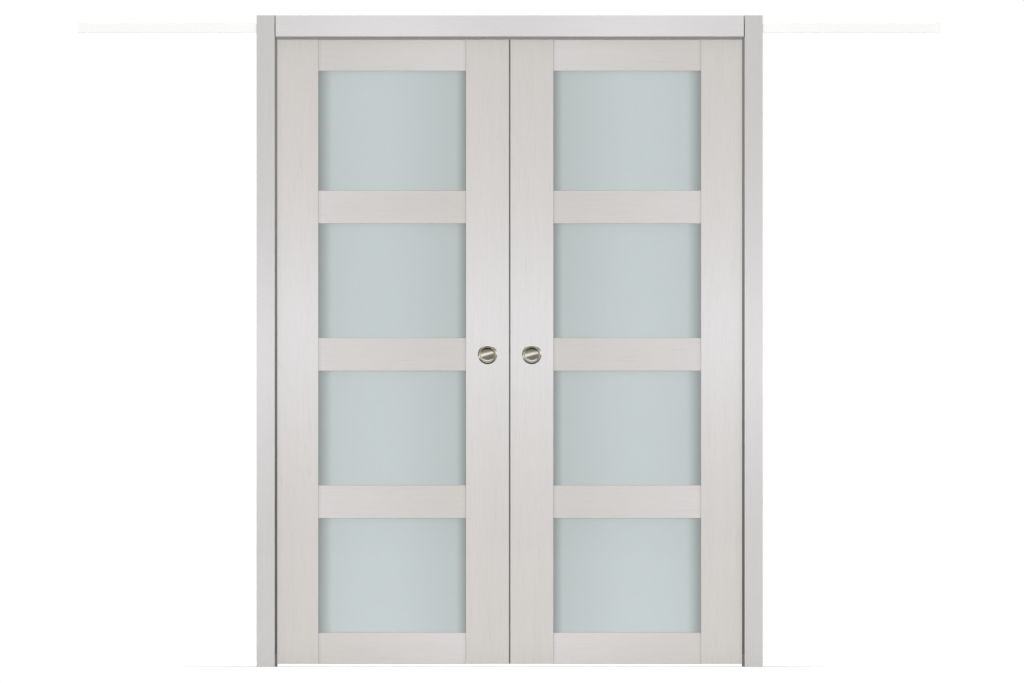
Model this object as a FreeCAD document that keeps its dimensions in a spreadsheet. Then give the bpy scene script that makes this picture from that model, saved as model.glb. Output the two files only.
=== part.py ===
# Double pocket door: two glazed leaves hung from trolleys, in a cased frame with split jambs.
# X runs along the wall, Y through it with the front at -Y, and Z up from the finished floor.
# The right-hand pieces are drawn where they stand. A left-hand piece is the same piece given
# half a turn about the centre line of the opening, which also swaps its front and its back.
import FreeCAD, Part
import os
import re
import Sketcher

SIZES = (
    ("leaf_width", 762.0, "one leaf, 30 in"),
    ("leaf_height", 2032.0, "one leaf, 80 in"),
    ("leaf_thickness", 40.0, "leaf boards"),
    ("meeting_gap", 3.0, "between the closed leaves"),
    ("floor_gap", 9.0, "under the leaves"),
    ("stile_width", 141.0, "upright boards of the leaf"),
    ("top_rail_height", 102.0, "rail along the top of the leaf"),
    ("bottom_rail_height", 102.0, "rail along the foot of the leaf"),
    ("cross_rail_height", 107.0, "the three rails between the panes"),
    ("lite_height", 372.5, "clear glass in the three lower lites"),
    ("arris", 1.8, "eased edge of the leaf boards"),
    ("groove_width", 10.0, "glazing groove"),
    ("groove_depth", 12.0, "glazing groove"),
    ("tongue_fit", 0.2, "play round a rail's tongue"),
    ("pane_thickness", 5.0, "frosted glass"),
    ("pane_cover", 10.0, "edge of the glass inside the groove"),
    ("channel_base", 1.5, "glazing channel behind the edge of the glass"),
    ("channel_setback", 0.5, "glazing channel lips below the board's edge"),
    ("dowel_diameter", 6.0, "joint dowel"),
    ("dowel_length", 70.0, "joint dowel"),
    ("dowel_spacing", 60.0, "two dowels in a joint"),
    ("dowel_fit", 0.1, "play round a dowel"),
    ("dowel_end_room", 1.0, "glue room at a dowel's end"),
    ("pull_mouth", 50.0, "inside of the cup pull"),
    ("pull_rim", 6.75, "width of the pull's rim"),
    ("pull_depth", 11.0, "cup below the leaf's face"),
    ("pull_wall", 1.2, "cup wall"),
    ("pull_proud", 2.0, "rim above the leaf's face"),
    ("pull_rim_round", 1.4, "outer edge of the rim"),
    ("pull_lip_round", 0.9, "inner edge of the rim"),
    ("pull_dish_round", 10.0, "inside corner of the cup"),
    ("pull_fit", 0.2, "play round the cup in its bore"),
    ("bumper_width", 8.0, "rubber strip on the meeting edge"),
    ("bumper_depth", 3.5, "strip inside its groove"),
    ("bumper_air", 0.2, "half the air between the two strips"),
    ("wall_thickness", 114.0, "finished wall"),
    ("slot_clearance", 5.0, "leaf to either strip of a split jamb"),
    ("jamb_thickness", 20.0, "jamb strips"),
    ("jamb_proud", 2.0, "jamb edge in front of the wall"),
    ("edge_clearance", 0.5, "pocket edge of the closed leaf to the jamb face"),
    ("head_gap", 9.0, "over the leaves"),
    ("casing_width", 59.0, "side casings"),
    ("casing_thickness", 16.0, "casings in front of the wall"),
    ("casing_round", 1.5, "front edges of the casings"),
    ("head_casing_height", 69.0, "casing over the opening"),
    ("casing_joint", 1.0, "open joint at each end of the head casing"),
    ("header_thickness", 20.0, "board that carries the tracks"),
    ("seal_reach", 8.0, "seal into the opening"),
    ("seal_width", 10.0, "seal carrier through the wall"),
    ("pile_thickness", 3.0, "brush pile"),
    ("pile_clearance", 0.3, "pile to the leaf's face"),
    ("head_seal_clearance", 1.0, "head seal over the leaf"),
    ("guide_height", 40.0, "nylon guide at the foot of the jamb"),
    ("guide_lift", 1.0, "guide above the floor"),
    ("guide_clearance", 0.4, "guide to the leaf's face"),
    ("guide_peg_diameter", 6.0, "guide's pegs"),
    ("guide_peg_length", 10.0, "guide's pegs"),
    ("guide_peg_spacing", 22.0, "guide's two pegs"),
    ("guide_peg_fit", 0.1, "play round a peg"),
    ("track_wall", 2.5, "sides of the track"),
    ("track_lip", 3.0, "running lips"),
    ("track_web", 3.0, "top of the track"),
    ("track_slot", 12.0, "between the running lips"),
    ("track_tail", 5.0, "track past the end stop"),
    ("track_screw_first", 150.0, "first track screw from the centre line"),
    ("track_screw_margin", 114.0, "last of three track screws from the jamb"),
    ("pocket_hole_margin", 103.3, "last fixing hole from the end of the track"),
    ("pocket_hole_pitch", 400.0, "two fixing holes in the pocket"),
    ("pocket_hole_diameter", 5.0, "fixing holes in the pocket"),
    ("wheel_diameter", 20.0, "trolley wheel"),
    ("wheel_width", 6.0, "trolley wheel"),
    ("wheel_chamfer", 0.8, "edges of the tread"),
    ("wheel_hub", 9.0, "hub diameter"),
    ("wheel_rim", 2.6, "tread thickness"),
    ("wheel_recess", 1.5, "dished web of the wheel"),
    ("wheel_gap", 0.5, "wheel to carriage"),
    ("wheel_side_clearance", 1.5, "wheel to the side of the track"),
    ("wheel_clearance", 0.2, "tread to the running lip"),
    ("wheel_headroom", 2.8, "over the wheels"),
    ("wheel_base", 44.0, "between a trolley's axles"),
    ("axle_diameter", 5.0, "axle pin"),
    ("axle_fit", 0.05, "play of the wheel on its pin"),
    ("axle_seat", 0.02, "play of the pin in the carriage"),
    ("axle_tail", 0.8, "pin past the wheel"),
    ("carriage_end", 12.0, "trolley block past its axles"),
    ("carriage_width", 16.0, "trolley block"),
    ("carriage_height", 14.0, "trolley block"),
    ("carriage_round", 4.0, "corners of the trolley block"),
    ("bolt_diameter", 8.0, "hanger bolt"),
    ("bolt_fit", 0.1, "play round the hanger bolt"),
    ("bolt_head_flats", 13.0, "hexagon head and lock nut"),
    ("bolt_head_height", 5.3, "hexagon head"),
    ("bolt_end_room", 1.0, "bolt's end below the top of the carriage"),
    ("nut_height", 6.5, "lock nut"),
    ("nut_clearance", 2.5, "lock nut to the track"),
    ("bracket_length", 100.0, "hat bracket on the leaf"),
    ("bracket_bridge", 44.0, "raised part of the bracket"),
    ("bracket_width", 30.0, "hat bracket"),
    ("bracket_height", 14.0, "hat bracket"),
    ("bracket_thickness", 3.0, "hat bracket's plate"),
    ("bracket_bend", 1.0, "inside of the bracket's bends"),
    ("bracket_screw_pitch", 14.0, "two screws in a bracket foot"),
    ("screw_diameter", 4.0, "wood screws"),
    ("screw_head", 8.0, "screw head diameter"),
    ("screw_head_height", 2.4, "screw head"),
    ("screw_head_round", 0.8, "edge of the screw head"),
    ("screw_point", 4.0, "screw's point"),
    ("screw_fit", 0.1, "play round a screw"),
    ("bracket_screw_length", 30.0, "screws into the leaf"),
    ("track_screw_length", 16.0, "screws into the header board"),
    ("header_screw_length", 45.0, "screws into the jambs"),
    ("header_screw_margin", 264.0, "outer head jamb screws from the side jamb"),
    ("header_screw_sink", 0.6, "header screws below the board"),
    ("stop_length", 20.0, "track stop"),
    ("stop_height", 16.0, "track stop"),
    ("stop_fit", 0.3, "play beside the track stop"),
    ("buffer_diameter", 11.0, "rubber buffer on the stop"),
    ("buffer_length", 6.0, "rubber buffer"),
    ("buffer_clearance", 0.3, "buffer to the carriage at the end of its run"),
    ("slide_travel", 645.0, "run of each leaf"),
)

PLACES = {
    "leaf_inner": "meeting_gap / 2",
    "leaf_outer": "leaf_inner + leaf_width",
    "leaf_half": "leaf_thickness / 2",
    "leaf_top": "floor_gap + leaf_height",
    "glass_inner": "leaf_inner + stile_width",
    "glass_outer": "leaf_outer - stile_width",
    "groove_half": "groove_width / 2",
    "lower_rail_foot": "floor_gap + bottom_rail_height + lite_height",
    "middle_rail_foot": "lower_rail_foot + cross_rail_height + lite_height",
    "upper_rail_foot": "middle_rail_foot + cross_rail_height + lite_height",
    "top_rail_foot": "leaf_top - top_rail_height",
    "dowel_reach": "dowel_length / 2 + dowel_end_room",
    "pull_radius": "pull_mouth / 2 + pull_rim",
    "pull_x": "leaf_inner + stile_width / 2",
    "pull_z": "middle_rail_foot + cross_rail_height / 2",
    "opening_half": "leaf_outer + edge_clearance",
    "jamb_outer": "opening_half + jamb_thickness",
    "casing_outer": "opening_half + casing_width",
    "slot_half": "leaf_half + slot_clearance",
    "wall_half": "wall_thickness / 2",
    "jamb_face": "wall_half + jamb_proud",
    "casing_face": "wall_half + casing_thickness",
    "jamb_middle": "(slot_half + jamb_face) / 2",
    "head_foot": "leaf_top + head_gap",
    "casing_top": "head_foot + head_casing_height",
    "track_foot": "leaf_top + bracket_height + nut_height + nut_clearance",
    "track_floor": "track_foot + track_lip",
    "axle_height": "track_floor + wheel_clearance + wheel_diameter / 2",
    "track_ceiling": "track_floor + wheel_clearance + wheel_diameter + wheel_headroom",
    "track_top": "track_ceiling + track_web",
    "track_screw_pitch": "(opening_half - track_screw_margin - track_screw_first) / 2",
    "header_top": "track_top + header_thickness",
    "header_sink": "screw_head_height + header_screw_sink",
    "header_screw_pitch": "opening_half - header_screw_margin",
    "wheel_near": "carriage_width / 2 + wheel_gap",
    "wheel_far": "wheel_near + wheel_width",
    "track_inner_half": "wheel_far + wheel_side_clearance",
    "track_half": "track_inner_half + track_wall",
    "lead_trolley": "leaf_inner + stile_width / 2",
    "rear_trolley": "leaf_outer - stile_width / 2",
    "carriage_half": "wheel_base / 2 + carriage_end",
    "bracket_foot_middle": "(bracket_length + bracket_bridge) / 4",
    "closed_stop": "lead_trolley - carriage_half - buffer_clearance",
    "open_stop": "rear_trolley + slide_travel + carriage_half + buffer_clearance",
    "track_end": "open_stop + buffer_length + stop_length + track_tail",
    "seal_inner": "opening_half - seal_reach",
    "seal_far": "slot_half + seal_width",
    "pile_tip": "leaf_half + pile_clearance",
    "guide_top": "guide_lift + guide_height",
    "guide_middle": "guide_lift + guide_height / 2",
    "jamb_centre": "opening_half + jamb_thickness / 2",
}

SIDES = ("left", "right")
FACES = {"front": -1, "back": 1}
TROLLEYS = {"lead": "lead_trolley", "rear": "rear_trolley"}
RAILS = {
    "bottom_rail": ("floor_gap", "bottom_rail_height"),
    "lower_rail": ("lower_rail_foot", "cross_rail_height"),
    "middle_rail": ("middle_rail_foot", "cross_rail_height"),
    "upper_rail": ("upper_rail_foot", "cross_rail_height"),
    "top_rail": ("top_rail_foot", "top_rail_height"),
}
LITES = (
    ("floor_gap + bottom_rail_height", "lower_rail_foot"),
    ("lower_rail_foot + cross_rail_height", "middle_rail_foot"),
    ("middle_rail_foot + cross_rail_height", "upper_rail_foot"),
    ("upper_rail_foot + cross_rail_height", "top_rail_foot"),
)
UP = FreeCAD.Vector(0, 0, 1)
HALF_TURN = FreeCAD.Rotation(UP, 180)
HEAD_DOWN = FreeCAD.Rotation(FreeCAD.Vector(1, 0, 0), 180)
AXIS_TO_Y = FreeCAD.Rotation(FreeCAD.Vector(1, 0, 0), -90)
AXIS_TO_X = FreeCAD.Rotation(FreeCAD.Vector(0, 1, 0), 90)
NEAR = 1e-4

doc = FreeCAD.newDocument("double_pocket_door")
sheet = doc.addObject("Spreadsheet::Sheet", "Sizes")
for row, (alias, size, note) in enumerate(SIZES, 1):
    sheet.set(f"A{row}", alias)
    sheet.set(f"B{row}", str(size))
    sheet.set(f"C{row}", note)
    sheet.setAlias(f"B{row}", alias)
doc.recompute()

sub_parts = []


def ex(text):
    """An expression in which every place is spelled out and every size points at its cell."""

    def spell(match):
        word = match.group(0)
        return f"({ex(PLACES[word])})" if word in PLACES else f"Sizes.{word}"

    return re.sub(r"[a-z][a-z_]*", spell, str(text))


def value(text):
    """The number of millimetres that an expression stands for."""
    return float(sheet.evalExpression(ex(text)))


def signed(sign, text):
    """A length measured towards the back of the wall, or with sign -1 towards the front."""
    return f"{sign} * ({text})"


def face_sign(side, face):
    """Which way a face looks before a left-hand piece is given its half turn."""
    return FACES[face] if side == "right" else -FACES[face]


def part(piece, label, side="right"):
    """Takes a finished piece into the list of sub-parts, on its side of the opening."""
    piece.Label = label
    if side == "left":
        piece.Placement = FreeCAD.Placement(FreeCAD.Vector(), HALF_TURN)
    sub_parts.append(piece)


def place(piece, x, y, z, turned=FreeCAD.Rotation()):
    """Stands a piece that is drawn about its own origin at a spot on the right-hand side."""
    piece.Placement = FreeCAD.Placement(FreeCAD.Vector(), turned)
    for axis, spot in zip("xyz", (x, y, z)):
        piece.setExpression(f"Placement.Base.{axis}", ex(spot))
    return piece


def body(name):
    return doc.addObject("PartDesign::Body", name)


def group(members, label, side="right"):
    """Several separate solids that share one sub-part."""
    cluster = doc.addObject("Part::Compound", label)
    cluster.Links = members
    part(cluster, label, side)


def on_side(piece, side):
    """The piece itself on the right, or given its half turn on the left."""
    if side == "right":
        return piece
    holder = doc.addObject("Part::Compound", f"{piece.Name}_turned")
    holder.Links = [piece]
    holder.Placement = FreeCAD.Placement(FreeCAD.Vector(), HALF_TURN)
    return holder


def sketch(owner, plane, offset="0"):
    """An empty sketch on one of the body's origin planes, moved along the plane's normal."""
    drawing = owner.newObject("Sketcher::SketchObject", f"{owner.Name}_sketch")
    support = [item for item in owner.Origin.OriginFeatures if item.Role == f"{plane}_Plane"]
    drawing.AttachmentSupport = (support[0], [""])
    drawing.MapMode = "FlatFace"
    drawing.setExpression("AttachmentOffset.Base.z", ex(offset))
    return drawing


def bind(drawing, constraint, text):
    """Adds a dimension and ties it to the sheet."""
    index = drawing.addConstraint(Sketcher.Constraint(*constraint, value(text)))
    drawing.setExpression(f"Constraints[{index}]", ex(text))


def outline(drawing, corners):
    """A closed outline of straight runs, each corner placed by two dimensions."""
    spots = [FreeCAD.Vector(value(x), value(y), 0) for x, y in corners]
    first = drawing.GeometryCount
    count = len(corners)
    for index in range(count):
        drawing.addGeometry(Part.LineSegment(spots[index], spots[(index + 1) % count]), False)
    for index, (x, y) in enumerate(corners):
        line = first + index
        following = first + (index + 1) % count
        drawing.addConstraint(Sketcher.Constraint("Coincident", line, 2, following, 1))
        bind(drawing, ("DistanceX", -1, 1, line, 1), x)
        bind(drawing, ("DistanceY", -1, 1, line, 1), y)
    return drawing


def rectangle(x_low, x_high, y_low, y_high):
    return ((x_low, y_low), (x_high, y_low), (x_high, y_high), (x_low, y_high))


def pad(owner, drawing, length, middle=False, backward=False):
    """Raises a sketch along its normal, or evenly to both sides of its plane."""
    feature = owner.newObject("PartDesign::Pad", f"{owner.Name}_pad")
    feature.Profile = drawing
    feature.SideType = "Symmetric" if middle else "One side"
    feature.Reversed = backward
    feature.setExpression("Length", ex(length))
    return feature


def circles(drawing, centres, diameter):
    for x, y in centres:
        spot = FreeCAD.Vector(value(x), value(y), 0)
        ring = drawing.addGeometry(Part.Circle(spot, UP, value(diameter) / 2), False)
        bind(drawing, ("DistanceX", -1, 1, ring, 3), x)
        bind(drawing, ("DistanceY", -1, 1, ring, 3), y)
        bind(drawing, ("Diameter", ring), diameter)
    return drawing


def drill(owner, plane, offset, centres, diameter, depth, along=False):
    """Round holes from a plane: against its normal, or along it."""
    cut = owner.newObject("PartDesign::Pocket", f"{owner.Name}_holes")
    cut.Profile = circles(sketch(owner, plane, offset), centres, diameter)
    cut.Type = "Length"
    cut.Reversed = along
    cut.setExpression("Length", ex(depth))


def revolve(owner, corners, axis):
    """Turns an outline in the XY plane about one of the sketch's axes."""
    turned = owner.newObject("PartDesign::Revolution", f"{owner.Name}_turned")
    drawing = sketch(owner, "XY")
    for loop in corners:
        outline(drawing, loop)
    turned.Profile = drawing
    turned.ReferenceAxis = (drawing, [axis])
    turned.Angle = 360


def fillet(owner, radius, wanted):
    """Rounds the edges of the body that the test wants."""
    doc.recompute()
    base = owner.Tip
    edges = [f"Edge{index}" for index, edge in enumerate(base.Shape.Edges, 1) if wanted(edge)]
    rounded = owner.newObject("PartDesign::Fillet", f"{owner.Name}_round")
    rounded.Base = (base, edges)
    rounded.setExpression("Radius", ex(radius))


def ease(owner, radius, axes, **lines):
    """Rounds the straight edges along any of the axes that lie on the given lines."""
    levels = {letter: [value(text) for text in texts] for letter, texts in lines.items()}

    def wanted(edge):
        first, last = edge.firstVertex().Point, edge.lastVertex().Point
        if all(abs(getattr(first, axis) - getattr(last, axis)) < NEAR for axis in axes):
            return False
        return all(
            any(abs(getattr(end, letter) - level) < NEAR for level in heights)
            for letter, heights in levels.items()
            for end in (first, last)
        )

    fillet(owner, radius, wanted)


def round_ring(owner, radius, ring_radius, height):
    """Rounds a circular edge about Y, given its radius and its place on the axis."""

    def wanted(edge):
        curve = edge.Curve
        return (
            isinstance(curve, Part.Circle)
            and abs(curve.Radius - value(ring_radius)) < NEAR
            and abs(curve.Center.y - value(height)) < NEAR
        )

    fillet(owner, radius, wanted)


def block(name, x, y, z, length, width, height):
    """A plain block from its lowest corner."""
    box = doc.addObject("Part::Box", name)
    for key, text in zip(("Length", "Width", "Height"), (length, width, height)):
        box.setExpression(key, ex(text))
    return place(box, x, y, z)


def rod(name, diameter, length, x, y, z, turned=FreeCAD.Rotation()):
    """A round rod from the middle of one end."""
    bar = doc.addObject("Part::Cylinder", name)
    bar.setExpression("Radius", ex(f"({diameter}) / 2"))
    bar.setExpression("Height", ex(length))
    return place(bar, x, y, z, turned)


def hexagon(name, flats, height, x, y, z):
    """A hexagon bar standing on z, given its width across the flats."""
    bar = doc.addObject("Part::Prism", name)
    bar.Polygon = 6
    bar.setExpression("Circumradius", f"{ex(flats)} / sqrt(3)")
    bar.setExpression("Height", ex(height))
    return place(bar, x, y, z)


def joined(kind, name, base, tool):
    """A Part::Cut or Part::Fuse of two solids."""
    result = doc.addObject(kind, name)
    result.Base = base
    result.Tool = tool
    return result


def screw(name, length, x, y, z, turned=FreeCAD.Rotation()):
    """A pan head wood screw, its head resting on the XY plane and its point down."""
    shank = body(name)
    corners = (
        ("0", f"-({length})"),
        ("screw_diameter / 2", f"screw_point - ({length})"),
        ("screw_diameter / 2", "0"),
        ("screw_head / 2", "0"),
        ("screw_head / 2", "screw_head_height"),
        ("0", "screw_head_height"),
    )
    revolve(shank, (corners,), "V_Axis")
    round_ring(shank, "screw_head_round", "screw_head / 2", "screw_head_height")
    return place(shank, x, y, z, turned.multiply(FreeCAD.Rotation(FreeCAD.Vector(1, 0, 0), 90)))


def bracket_screw_spots(trolley):
    """The four screws of a hat bracket, as X and Y."""
    return [
        (f"{trolley} + {foot} * bracket_foot_middle", f"{row} * bracket_screw_pitch / 2")
        for foot in (-1, 1)
        for row in (-1, 1)
    ]


def tongue_span(piece):
    """The foot and the top of a rail's tongue, which stops at the grooves for the glass."""
    foot, height = RAILS[piece]
    low = foot if piece == "bottom_rail" else f"{foot} + groove_depth"
    high = f"{foot} + {height}" if piece == "top_rail" else f"{foot} + {height} - groove_depth"
    return low, high


def dowel_heights(piece):
    """The heights of the two dowels in each end of a rail."""
    low, high = tongue_span(piece)
    return [f"({low} + {high}) / 2 + {row} * dowel_spacing / 2" for row in (-1, 1)]


def stile_fixings(stile, trolley, dowel_end, towards_x):
    """Dowel holes in the inner edge of a stile, and bracket screw holes in its top."""
    spots = [("0", height) for piece in RAILS for height in dowel_heights(piece)]
    diameter = "dowel_diameter + 2 * dowel_fit"
    drill(stile, "YZ", dowel_end, spots, diameter, "dowel_reach", along=towards_x)
    screw_hole = "screw_diameter + 2 * screw_fit"
    drill(stile, "XY", "leaf_top", bracket_screw_spots(trolley), screw_hole, "bracket_screw_length")


def meeting_stile(side):
    """The stile at the middle of the opening, with both pull bores and the bumper's groove."""
    stile = body(f"{side}_meeting_stile")
    inner_wall = "glass_inner - groove_depth"
    strip_wall = "leaf_inner + bumper_depth"
    strip_half = "bumper_width / 2"
    corners = (
        ("leaf_inner", "-leaf_half"),
        ("glass_inner", "-leaf_half"),
        ("glass_inner", "-groove_half"),
        (inner_wall, "-groove_half"),
        (inner_wall, "groove_half"),
        ("glass_inner", "groove_half"),
        ("glass_inner", "leaf_half"),
        ("leaf_inner", "leaf_half"),
        ("leaf_inner", strip_half),
        (strip_wall, strip_half),
        (strip_wall, f"-({strip_half})"),
        ("leaf_inner", f"-({strip_half})"),
    )
    pad(stile, outline(sketch(stile, "XY", "floor_gap"), corners), "leaf_height")
    edges = ("leaf_inner", "glass_inner")
    ease(stile, "arris", "z", x=edges, y=("-leaf_half", "leaf_half"))
    stile_fixings(stile, "lead_trolley", "glass_inner - dowel_reach", True)
    bore = "pull_mouth + 2 * pull_wall + 2 * pull_fit"
    bore_depth = "pull_depth + pull_wall + pull_fit"
    for sign in FACES.values():
        skin = signed(-sign, "leaf_half")
        drill(stile, "XZ", skin, [("pull_x", "pull_z")], bore, bore_depth, along=sign > 0)
    part(stile, f"{side}_meeting_stile", side)


def pocket_stile(side):
    """The stile that stays at the mouth of the pocket."""
    stile = body(f"{side}_pocket_stile")
    inner_wall = "glass_outer + groove_depth"
    corners = (
        ("glass_outer", "-leaf_half"),
        ("leaf_outer", "-leaf_half"),
        ("leaf_outer", "leaf_half"),
        ("glass_outer", "leaf_half"),
        ("glass_outer", "groove_half"),
        (inner_wall, "groove_half"),
        (inner_wall, "-groove_half"),
        ("glass_outer", "-groove_half"),
    )
    pad(stile, outline(sketch(stile, "XY", "floor_gap"), corners), "leaf_height")
    edges = ("glass_outer", "leaf_outer")
    ease(stile, "arris", "z", x=edges, y=("-leaf_half", "leaf_half"))
    stile_fixings(stile, "rear_trolley", "glass_outer + dowel_reach", False)
    part(stile, f"{side}_pocket_stile", side)


def rail(side, piece):
    """A cross board, grooved where it meets glass and tongued into both stiles."""
    foot, height = RAILS[piece]
    top = f"{foot} + {height}"
    floor_groove = [
        ("-groove_half", foot),
        ("-groove_half", f"{foot} + groove_depth"),
        ("groove_half", f"{foot} + groove_depth"),
        ("groove_half", foot),
    ]
    top_groove = [
        ("groove_half", top),
        ("groove_half", f"{top} - groove_depth"),
        ("-groove_half", f"{top} - groove_depth"),
        ("-groove_half", top),
    ]
    glass_below = piece != "bottom_rail"
    glass_above = piece != "top_rail"
    corners = [("-leaf_half", foot)]
    corners += floor_groove if glass_below else []
    corners += [("leaf_half", foot), ("leaf_half", top)]
    corners += top_groove if glass_above else []
    corners += [("-leaf_half", top)]
    board = body(f"{side}_{piece}")
    pad(board, outline(sketch(board, "YZ", "glass_inner"), corners), "glass_outer - glass_inner")
    ease(board, "arris", "xz", y=("-leaf_half", "leaf_half"))
    tongue_half = "groove_half - tongue_fit"
    tongue = rectangle(f"-({tongue_half})", tongue_half, *tongue_span(piece))
    reach = "groove_depth - tongue_fit"
    drawing = outline(sketch(board, "YZ", f"glass_inner - ({reach})"), tongue)
    pad(board, drawing, f"glass_outer - glass_inner + 2 * ({reach})")
    spots = [("0", level) for level in dowel_heights(piece)]
    diameter = "dowel_diameter + 2 * dowel_fit"
    depth = "dowel_reach + groove_depth"
    drill(board, "YZ", "glass_inner + dowel_reach", spots, diameter, depth)
    drill(board, "YZ", "glass_outer - dowel_reach", spots, diameter, depth, along=True)
    part(board, f"{side}_{piece}", side)


def pane_block(name, low, high, grow, thickness):
    """A block over one lite, grown past its clear opening on all four sides."""
    return block(
        name,
        f"glass_inner - ({grow})",
        f"-({thickness}) / 2",
        f"{low} - ({grow})",
        f"glass_outer - glass_inner + 2 * ({grow})",
        thickness,
        f"({high}) - ({low}) + 2 * ({grow})",
    )


def glazing(side):
    """Four panes, each in a channel that lines the grooves round its lite."""
    panes = []
    channels = []
    for number, (low, high) in enumerate(LITES, 1):
        name = f"{side}_lite_{number}"
        panes.append(pane_block(f"{name}_pane", low, high, "pane_cover", "pane_thickness"))
        outer = pane_block(f"{name}_lining", low, high, "pane_cover + channel_base", "groove_width")
        clear = pane_block(f"{name}_clear", low, high, "channel_setback", "groove_width")
        seat = pane_block(f"{name}_seat", low, high, "pane_cover", "pane_thickness")
        ring = joined("Part::Cut", f"{name}_ring", outer, clear)
        channels.append(joined("Part::Cut", f"{name}_channel", ring, seat))
    group(panes, f"{side}_panes", side)
    group(channels, f"{side}_glazing_channels", side)


def dowels(side):
    """Two dowels in each end of each rail."""
    pins = [
        rod(f"{side}_dowel", "dowel_diameter", "dowel_length", f"{joint} - dowel_length / 2", "0",
            height, AXIS_TO_X)
        for joint in ("glass_inner", "glass_outer")
        for piece in RAILS
        for height in dowel_heights(piece)
    ]
    group(pins, f"{side}_dowels", side)


def pull(side, face):
    """A round cup pull, its rim seated on the leaf's face."""
    label = f"{side}_{face}_pull"
    cup = body(f"{label}_cup")
    outer = "pull_mouth / 2 + pull_wall"
    floor = "pull_depth + pull_wall"
    corners = (
        ("0", floor),
        (outer, floor),
        (outer, "0"),
        ("pull_radius", "0"),
        ("pull_radius", "-pull_proud"),
        ("pull_mouth / 2", "-pull_proud"),
        ("pull_mouth / 2", "pull_depth"),
        ("0", "pull_depth"),
    )
    revolve(cup, (corners,), "V_Axis")
    round_ring(cup, "pull_rim_round", "pull_radius", "-pull_proud")
    round_ring(cup, "pull_lip_round", "pull_mouth / 2", "-pull_proud")
    round_ring(cup, "pull_dish_round", "pull_mouth / 2", "pull_depth")
    round_ring(cup, "pull_dish_round + pull_wall / 2", outer, floor)
    sign = face_sign(side, face)
    outward = FreeCAD.Rotation() if sign < 0 else HALF_TURN
    place(cup, "pull_x", signed(sign, "leaf_half"), "pull_z", outward)
    group([cup], label, side)


def edge_bumper(side):
    """The rubber strip in the meeting edge, its bevelled nose a little proud of it."""
    strip = body(f"{side}_edge_bumper")
    root = "leaf_inner + bumper_depth"
    half = "bumper_width / 2"
    nose_half = f"{half} - (leaf_inner - bumper_air)"
    corners = (
        ("bumper_air", f"-({nose_half})"),
        ("leaf_inner", f"-({half})"),
        (root, f"-({half})"),
        (root, half),
        ("leaf_inner", half),
        ("bumper_air", nose_half),
    )
    pad(strip, outline(sketch(strip, "XY", "floor_gap"), corners), "leaf_height")
    part(strip, f"{side}_edge_bumper", side)


def hanger_brackets(side):
    """Two hat brackets screwed to the top of the leaf."""
    brackets = []
    bridge = "bracket_bridge / 2"
    hollow = "bracket_bridge / 2 - bracket_thickness"
    for name, centre in TROLLEYS.items():
        plate = body(f"{side}_{name}_bracket")
        half = [
            ("bracket_length / 2", "0"),
            ("bracket_length / 2", "bracket_thickness"),
            (bridge, "bracket_thickness"),
            (bridge, "bracket_height"),
        ]
        inside = [
            (hollow, "0"),
            (hollow, "bracket_height - bracket_thickness"),
        ]
        mirrored = [(f"-({x})", z) for x, z in half + inside[::-1]]
        corners = inside[::-1] + half + mirrored[3::-1] + mirrored[:3:-1]
        placed = [(f"{centre} + {x}", f"leaf_top + {z}") for x, z in corners]
        pad(plate, outline(sketch(plate, "XZ"), placed), "bracket_width", middle=True)
        foot_top = "leaf_top + bracket_thickness"
        bridge_top = "leaf_top + bracket_height"
        bends = [f"{centre} + {sign} * ({x})" for sign in (-1, 1) for x in (bridge, hollow)]
        inside_levels = (foot_top, f"{bridge_top} - bracket_thickness")
        ease(plate, "bracket_bend", "y", x=bends, z=inside_levels)
        ease(plate, "bracket_bend + bracket_thickness", "y", x=bends, z=("leaf_top", bridge_top))
        hole = "screw_diameter + 2 * screw_fit"
        drill(plate, "XY", foot_top, bracket_screw_spots(centre), hole, "bracket_thickness")
        bolt_hole = "bolt_diameter + 2 * bolt_fit"
        drill(plate, "XY", bridge_top, [(centre, "0")], bolt_hole, "bracket_thickness")
        brackets.append(plate)
    group(brackets, f"{side}_hanger_brackets", side)


def axle_spots(centre):
    """The two axles of a trolley: the one nearer the middle of the opening first."""
    return {"inner": f"{centre} - wheel_base / 2", "outer": f"{centre} + wheel_base / 2"}


def trolleys(side):
    """Two carriage blocks with their pressed axle pins."""
    blocks = []
    for name, centre in TROLLEYS.items():
        carriage = body(f"{side}_{name}_carriage")
        ends = (f"{centre} - carriage_half", f"{centre} + carriage_half")
        levels = ("axle_height - carriage_height / 2", "axle_height + carriage_height / 2")
        drawing = outline(sketch(carriage, "XZ"), rectangle(*ends, *levels))
        pad(carriage, drawing, "carriage_width", middle=True)
        ease(carriage, "carriage_round", "y", x=ends, z=levels)
        spots = [(x, "axle_height") for x in axle_spots(centre).values()]
        pin_hole = "axle_diameter + 2 * axle_seat"
        drill(carriage, "XZ", "carriage_width / 2", spots, pin_hole, "carriage_width")
        bolt_hole = "bolt_diameter + 2 * bolt_fit"
        drill(carriage, "XY", levels[1], [(centre, "0")], bolt_hole, "carriage_height")
        blocks.append(carriage)
        pin_half = "wheel_far + axle_tail"
        for x, z in spots:
            blocks.append(rod(f"{side}_{name}_axle", "axle_diameter", f"2 * ({pin_half})", x,
                              f"-({pin_half})", z, AXIS_TO_Y))
    group(blocks, f"{side}_trolleys", side)


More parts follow.
